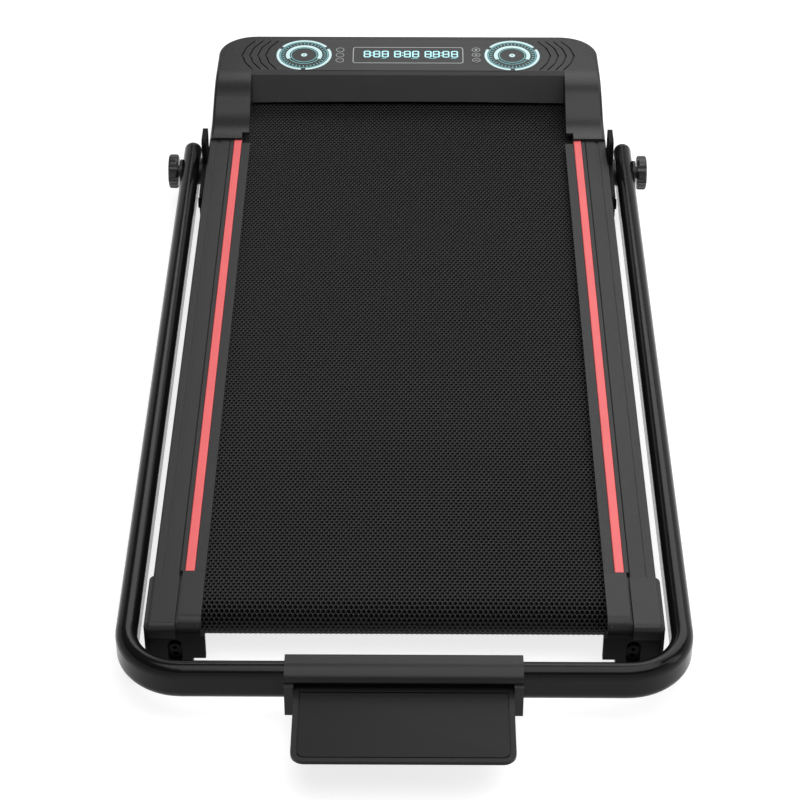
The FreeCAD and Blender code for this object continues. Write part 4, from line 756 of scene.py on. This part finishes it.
class WALKINGPAD_OT_console_display(bpy.types.Operator):
    """Outline the display and set its digits"""

    bl_idname = "walkingpad.console_display"
    bl_label = "Console Display"

    # Each group's digits and its colon, as distances from the middle
    groups = (
        ((-0.0535, -0.041, -0.0298), -0.0473),
        ((-0.0138, -0.001, 0.0099), -0.0074),
        ((0.0262, 0.0369, 0.0495, 0.0608), 0.0433),
    )
    # Each caption's distance from the middle and its width
    captions = ((-0.0315, 0.0062), (0.0085, 0.009), (0.0318, 0.0098), (0.0595, 0.0072))
    caption_height = 0.0013
    digits_along, captions_along = 0.0026, -0.0078
    outline_corner = 0.004
    segment_gap = 0.0003
    # The digits glow as a lit display; the captions' glow is painted light on printed ink
    digit_glow, caption_glow = 0.3, 0.1

    def execute(self, context):
        sizes, colours = context.scene.walking_pad_sizes, context.scene.walking_pad_colours
        outline = lay_on_console(raise_flat(self.outline(sizes), sizes.print_height))
        grey = screen_ink("print_grey", colours.print_grey)
        finish_piece(outline, grey, "base")
        digits = raise_flat(self.digits(sizes), sizes.print_height)
        lay_on_console(digits, along=self.digits_along)
        cyan = screen_ink("display_cyan", colours.display, self.digit_glow)
        finish_piece(digits, cyan, "base")
        bars = [flat_bar("caption", width, self.caption_height, x) for x, width in self.captions]
        captions = raise_flat(join_pieces(bars, "display_captions"), sizes.print_height)
        lay_on_console(captions, along=self.captions_along)
        teal = screen_ink("caption_teal", colours.print_teal, self.caption_glow)
        finish_piece(captions, teal, "base")
        return {"FINISHED"}

    def outline(self, sizes):
        """A rounded outline: a bevelled plate, inset by the stroke, without its middle."""
        piece = flat_bar("display_outline", sizes.display_width, sizes.display_depth)
        edit(piece)
        bpy.ops.mesh.bevel(offset=self.outline_corner, segments=6, affect="VERTICES")
        bpy.ops.mesh.select_all(action="SELECT")
        bpy.ops.mesh.inset(thickness=sizes.display_line)
        pick("FACE", lambda middle: middle.length < sizes.display_depth / 8)
        bpy.ops.mesh.delete(type="FACE")
        leave_edit()
        return piece

    def digits(self, sizes):
        """All digits and colons of the display."""
        digit = self.digit(sizes)
        dot = sizes.digit_stroke * 0.9
        rise = sizes.digit_height / 5
        parts = []
        for places, colon in self.groups:
            parts += [copy_piece(digit, (x, 0, 0)) for x in places]
            parts += [flat_bar("colon", dot, dot, colon, side * rise) for side in (-1, 1)]
        bpy.data.objects.remove(digit)
        return join_pieces(parts, "display_digits")

    def digit(self, sizes):
        """Seven mitred segments."""
        stroke = sizes.digit_stroke
        reach, rise = (sizes.digit_width - stroke) / 2, (sizes.digit_height - stroke) / 2
        flat = flat_bar("segment", 2 * reach - self.segment_gap, stroke)
        upright = flat_bar("segment", stroke, rise - self.segment_gap)
        for bar in (flat, upright):
            edit(bar)
            bpy.ops.mesh.bevel(offset=stroke * 0.42, segments=1, affect="VERTICES")
            leave_edit()
        parts = [copy_piece(flat, (0, step * rise, 0)) for step in (-1, 0, 1)]
        parts += [
            copy_piece(upright, (side * reach, step * rise / 2, 0))
            for side in (-1, 1) for step in (-1, 1)
        ]
        for bar in (flat, upright):
            bpy.data.objects.remove(bar)
        return join_pieces(parts, "digit")


class WALKINGPAD_OT_key_marks(bpy.types.Operator):
    """Print the rims of the lamps and the marks of the keys"""

    bl_idname = "walkingpad.key_marks"
    bl_label = "Key and Lamp Marks"

    rows = (1, 0, -1)
    rim_steps = 40
    # The arrow's size as a share of the rim, and a bar's width as a share of the rim's stroke
    arrow_share, bar_share = 0.46, 1.2

    def execute(self, context):
        sizes, colours = context.scene.walking_pad_sizes, context.scene.walking_pad_colours
        ink = screen_ink("rim_grey", colours.print_grey)
        for number, row in enumerate(self.rows, start=1):
            piece = raise_flat(self.rim(f"lamp_rim_{number}", sizes), sizes.print_height)
            lay_on_console(piece, -sizes.key_column, row * sizes.key_pitch)
            finish_piece(piece, ink, "base")
        marks = {
            "start": self.arrow(sizes), "faster": self.plus(sizes), "slower": self.minus(sizes),
        }
        for row, (name, mark) in zip(self.rows, marks.items()):
            rim = self.rim("rim", sizes)
            piece = raise_flat(join_pieces([rim, mark], f"{name}_mark"), sizes.print_height)
            lay_on_console(piece, sizes.key_column, row * sizes.key_pitch, sizes.key_lift)
            finish_piece(piece, ink, f"{name}_key")
        return {"FINISHED"}

    def rim(self, name, sizes):
        """The ring round a key or lamp."""
        return flat_ring(name, sizes.key_rim, sizes.key_rim - sizes.key_stroke, self.rim_steps)

    def arrow(self, sizes):
        """A triangle that points to the right."""
        clear_selection()
        bpy.ops.mesh.primitive_circle_add(
            vertices=3, radius=sizes.key_rim * self.arrow_share, fill_type="NGON"
        )
        piece = named("arrow")
        piece.rotation_euler = (0, 0, -math.pi / 2)
        return settle(piece)

    def minus(self, sizes):
        """One level bar."""
        return flat_bar("dash", sizes.key_rim, sizes.key_stroke * self.bar_share)

    def plus(self, sizes):
        """A level bar with an arm above and below it."""
        width = sizes.key_stroke * self.bar_share
        arm = sizes.key_rim / 2 - width / 2
        offset = width / 2 + arm / 2
        bars = [self.minus(sizes)]
        bars += [flat_bar("arm", width, arm, 0, side * offset) for side in (-1, 1)]
        return join_pieces(bars, "cross")


class WALKINGPAD_OT_tray_panel(bpy.types.Operator):
    """Let a panel into the tray, with a narrow groove round it"""

    bl_idname = "walkingpad.tray_panel"
    bl_label = "Tray Panel"

    corner_steps, edge_steps = 10, 3
    smooth_angle = math.radians(40)

    def execute(self, context):
        sizes, colours = context.scene.walking_pad_sizes, context.scene.walking_pad_colours
        inset = sizes.tray_rim + sizes.panel_gap
        reach = TRAY_HIGH.x - inset
        near, far = TRAY_LOW.y + inset, TRAY_HIGH.y - sizes.tray_back - sizes.panel_gap
        middle = (near + far) / 2
        panel = flat_bar("tray_panel", 2 * reach, far - near, 0, middle)
        edit(panel)
        pick("VERT", lambda place: place.y < middle)
        bpy.ops.mesh.bevel(
            offset=sizes.panel_corner, segments=self.corner_steps, affect="VERTICES"
        )
        leave_edit()
        raise_flat(panel, sizes.tray_hollow)
        edit(panel)
        pick("EDGE", lambda place: place.z > sizes.tray_hollow * 0.9)
        bpy.ops.mesh.bevel(offset=sizes.panel_edge, segments=self.edge_steps)
        leave_edit()
        panel.location = (0, 0, TRAY_HIGH.z - sizes.tray_hollow)
        settle(panel)
        take(panel)
        bpy.ops.object.shade_smooth_by_angle(angle=self.smooth_angle)
        plastic = moulded_plastic("panel_plastic", colours.tray, roughness=0.55, gloss=0.15)
        finish_piece(panel, plastic, "tray")
        return {"FINISHED"}


class WALKINGPAD_OT_mouldings(bpy.types.Operator):
    """Finish the hood, the caps, the console plate and the black mouldings"""

    bl_idname = "walkingpad.mouldings"
    bl_label = "Moulded Pieces"

    def execute(self, context):
        colours = context.scene.walking_pad_colours
        dress(
            moulded_plastic("hood_plastic", colours.hood, roughness=0.26, gloss=0.2),
            "motor_hood",
        )
        # Painted light: the guard's colour is lightened for the light on its face
        dress(
            moulded_plastic("guard_plastic", colours.guard_painted_light, roughness=0.5, gloss=0.15),
            "belt_guard",
        )
        dress(
            moulded_plastic("cap_plastic", colours.cap, roughness=0.36, gloss=0.17),
            "rear_cap_left", "rear_cap_right",
        )
        dress(
            moulded_plastic("plate_plastic", colours.plate, roughness=0.4, gloss=0.3, **FINE_GRAIN),
            "console_overlay",
        )
        dress(
            moulded_plastic("black_moulding", colours.moulding, roughness=0.36, gloss=0.22),
            "handrail_end_plugs", "pivot_washers", "holder_upper", "holder_lower",
            "power_inlet", "motor_fan", "speakers", "roller_pulley", "motor_pulley",
        )
        dress(
            moulded_plastic("tray_plastic", colours.tray, roughness=0.4, gloss=0.14),
            "tablet_tray",
        )
        dress(
            moulded_plastic("knob_plastic", colours.moulding, roughness=0.26, gloss=0.4),
            "knob_left", "knob_right",
        )
        dress(
            moulded_plastic("key_plastic", colours.plate, roughness=0.36, **FINE_GRAIN),
            "key_start", "key_faster", "key_slower", "indicator_lamps",
        )
        dress(
            moulded_plastic("rocker_plastic", colours.moulding, roughness=0.25, **FINE_GRAIN),
            "power_rocker",
        )
        dress(
            moulded_plastic(
                "accent_plastic", colours.accent, roughness=0.42, grain=2000, depth=0.00003
            ),
            "accent_strip_left", "accent_strip_right",
        )
        return {"FINISHED"}


class WALKINGPAD_OT_metalwork(bpy.types.Operator):
    """Finish the rails, the frame, the handrail, the steel and the drive"""

    bl_idname = "walkingpad.metalwork"
    bl_label = "Metalwork"

    def execute(self, context):
        colours = context.scene.walking_pad_colours
        dress(
            powder_coat("rail_coat", colours.rail, roughness=0.5, gloss=0.28),
            "side_rail_left", "side_rail_right",
        )
        dress(
            powder_coat("handrail_coat", colours.handrail, roughness=0.17, gloss=0.16),
            "handrail_tube",
        )
        dress(
            powder_coat("frame_coat", colours.frame_coat, roughness=0.48, gloss=0.08),
            "frame_side_left", "frame_side_right", "frame_crossmembers", "motor_pan", "motor_mount",
            "hinge_bracket_left", "hinge_bracket_right", "wheel_forks",
            "rear_bracket_left", "rear_bracket_right",
        )
        dress(powder_coat("motor_coat", colours.handrail, roughness=0.4), "motor_housing")
        dress(
            turned_steel("bright_steel", colours.steel),
            "front_roller_axle", "rear_roller_axle", "front_roller_bearings",
            "rear_roller_bearings", "motor_rotor",
        )
        dress(
            turned_steel("roller_steel", colours.roller, roughness=0.5),
            "front_roller", "rear_roller", "tray_pins",
        )
        dress(
            turned_steel("black_oxide", colours.frame_coat, roughness=0.45),
            "belt_tension_bolts", "hinge_bolts", "pan_screws", "holder_screws",
        )
        dress(
            turned_steel("controller_alloy", colours.alloy, roughness=0.4, stretch=(900, 4, 900)),
            "motor_controller",
        )
        return {"FINISHED"}


class WALKINGPAD_OT_soft_parts(bpy.types.Operator):
    """Finish the rubber, the deck board and the circuit board"""

    bl_idname = "walkingpad.soft_parts"
    bl_label = "Rubber and Boards"

    def execute(self, context):
        colours = context.scene.walking_pad_colours
        dress(
            soft_rubber("foot_rubber", colours.rubber),
            "rubber_feet", "deck_cushions", "transport_wheel_left", "transport_wheel_right",
            "drive_belt",
        )
        dress(wood_laminate("deck_laminate", colours.board_dark, colours.board_light), "deck_board")
        dress(
            circuit_board("board_green", colours.lacquer, colours.lacquer_light, colours.track),
            "display_board",
        )
        return {"FINISHED"}


class WALKINGPAD_OT_studio(bpy.types.Operator):
    """Set the floor, the pale wall, the lamps and the camera"""

    bl_idname = "walkingpad.studio"
    bl_label = "Studio"

    def execute(self, context):
        scene, studio = context.scene, context.scene.walking_pad_studio
        scene.view_settings.view_transform = "Standard"
        self.room(studio)
        scene.world = self.sky(studio)
        for name, (place, aim, width, depth) in LAMPS.items():
            self.lamp(name, getattr(studio, name), place, aim, width, depth)
        scene.camera = self.stand("camera", bpy.data.cameras.new("camera"),
                                  studio.camera_place, studio.camera_aim)
        scene.camera.data.sensor_width = studio.sensor
        scene.camera.data.lens = studio.focal
        scene.camera.data.clip_end = studio.view_reach
        return {"FINISHED"}

    def sky(self, studio):
        """An even white light from all round."""
        world = bpy.data.worlds.new("studio")
        world.use_nodes = True
        sockets = world.node_tree.nodes["Background"].inputs
        sockets["Color"].default_value = (1, 1, 1, 1)
        sockets["Strength"].default_value = studio.sky
        return world

    def room(self, studio):
        """A round floor whose rim is drawn up into a wall."""
        clear_selection()
        bpy.ops.mesh.primitive_circle_add(
            vertices=studio.wall_steps, radius=studio.floor_reach, fill_type="NGON",
            location=(0, 0, 0),
        )
        room = named("studio_room")
        edit(room)
        bpy.ops.mesh.select_mode(type="EDGE")
        bpy.ops.mesh.region_to_loop()
        bpy.ops.mesh.extrude_edges_move(
            TRANSFORM_OT_translate={"value": (0, 0, studio.wall_height)}
        )
        leave_edit()
        room.data.materials.append(self.paper(studio))

    def paper(self, studio):
        """Paper that takes shadows, and is white to the camera and in reflections."""
        material, tree, output, place = blank("pale_paper")
        rays = add(tree, "ShaderNodeLightPath").outputs
        seen = reckon(tree, "MAXIMUM", rays["Is Camera Ray"], rays["Is Glossy Ray"])
        shown = reckon(tree, "MAXIMUM", seen, rays["Is Transmission Ray"])
        white = reckon(tree, "MULTIPLY", shown, studio.floor_white)
        grey = shade((studio.floor_tone,) * 3)
        paper = add(tree, "ShaderNodeBsdfDiffuse", {"Color": grey}).outputs[0]
        glow = add(tree, "ShaderNodeEmission", {"Strength": white}).outputs[0]
        both = add(tree, "ShaderNodeAddShader", {0: paper, 1: glow}).outputs[0]
        tree.links.new(both, output.inputs["Surface"])
        return material

    def lamp(self, name, watts, place, aim, width, depth):
        """A soft rectangular lamp."""
        data = bpy.data.lights.new(name, "AREA")
        data.shape = "RECTANGLE"
        data.size, data.size_y = width, depth
        data.energy = watts
        self.stand(name, data, place, aim)

    def stand(self, name, data, place, aim):
        """Set a lamp or the camera at its place, pointed at its aim."""
        made = bpy.data.objects.new(name, data)
        bpy.context.scene.collection.objects.link(made)
        made.location = place
        made.rotation_euler = (Vector(aim) - Vector(place)).to_track_quat("-Z", "Y").to_euler()
        return made


class WALKINGPAD_PT_looks(bpy.types.Panel):
    """Lists the steps that dress the walking pad"""

    bl_label = "Walking Pad"
    bl_idname = "WALKINGPAD_PT_looks"
    bl_space_type = "VIEW_3D"
    bl_region_type = "UI"
    bl_category = "Walking Pad"

    def draw(self, context):
        for step in STEPS:
            self.layout.operator(step.bl_idname)
        for group in GROUPS:
            box = self.layout.box()
            settings = getattr(context.scene, group)
            for name in settings.bl_rna.properties.keys():
                if name not in {"rna_type", "name"}:
                    box.prop(settings, name)


STEPS = (
    WALKINGPAD_OT_running_belt,
    WALKINGPAD_OT_console_dials,
    WALKINGPAD_OT_console_display,
    WALKINGPAD_OT_key_marks,
    WALKINGPAD_OT_tray_panel,
    WALKINGPAD_OT_mouldings,
    WALKINGPAD_OT_metalwork,
    WALKINGPAD_OT_soft_parts,
    WALKINGPAD_OT_studio,
)
GROUPS = {
    "walking_pad_sizes": WalkingPadSizes,
    "walking_pad_colours": WalkingPadColours,
    "walking_pad_studio": WalkingPadStudio,
}


def register():
    """Register the classes and hang the settings on the scene."""
    for kind in (*GROUPS.values(), *STEPS, WALKINGPAD_PT_looks):
        bpy.utils.register_class(kind)
    for name, kind in GROUPS.items():
        setattr(bpy.types.Scene, name, PointerProperty(type=kind))


def unregister():
    """Take the settings off the scene and drop the classes."""
    for name in GROUPS:
        delattr(bpy.types.Scene, name)
    for kind in (WALKINGPAD_PT_looks, *reversed(STEPS), *GROUPS.values()):
        bpy.utils.unregister_class(kind)


def main():
    """Dress the walking pad."""
    register()
    bpy.ops.walkingpad.running_belt()
    bpy.ops.walkingpad.console_dials()
    bpy.ops.walkingpad.console_display()
    bpy.ops.walkingpad.key_marks()
    bpy.ops.walkingpad.tray_panel()
    bpy.ops.walkingpad.mouldings()
    bpy.ops.walkingpad.metalwork()
    bpy.ops.walkingpad.soft_parts()
    bpy.ops.walkingpad.studio()


if __name__ == "__main__":
    main()
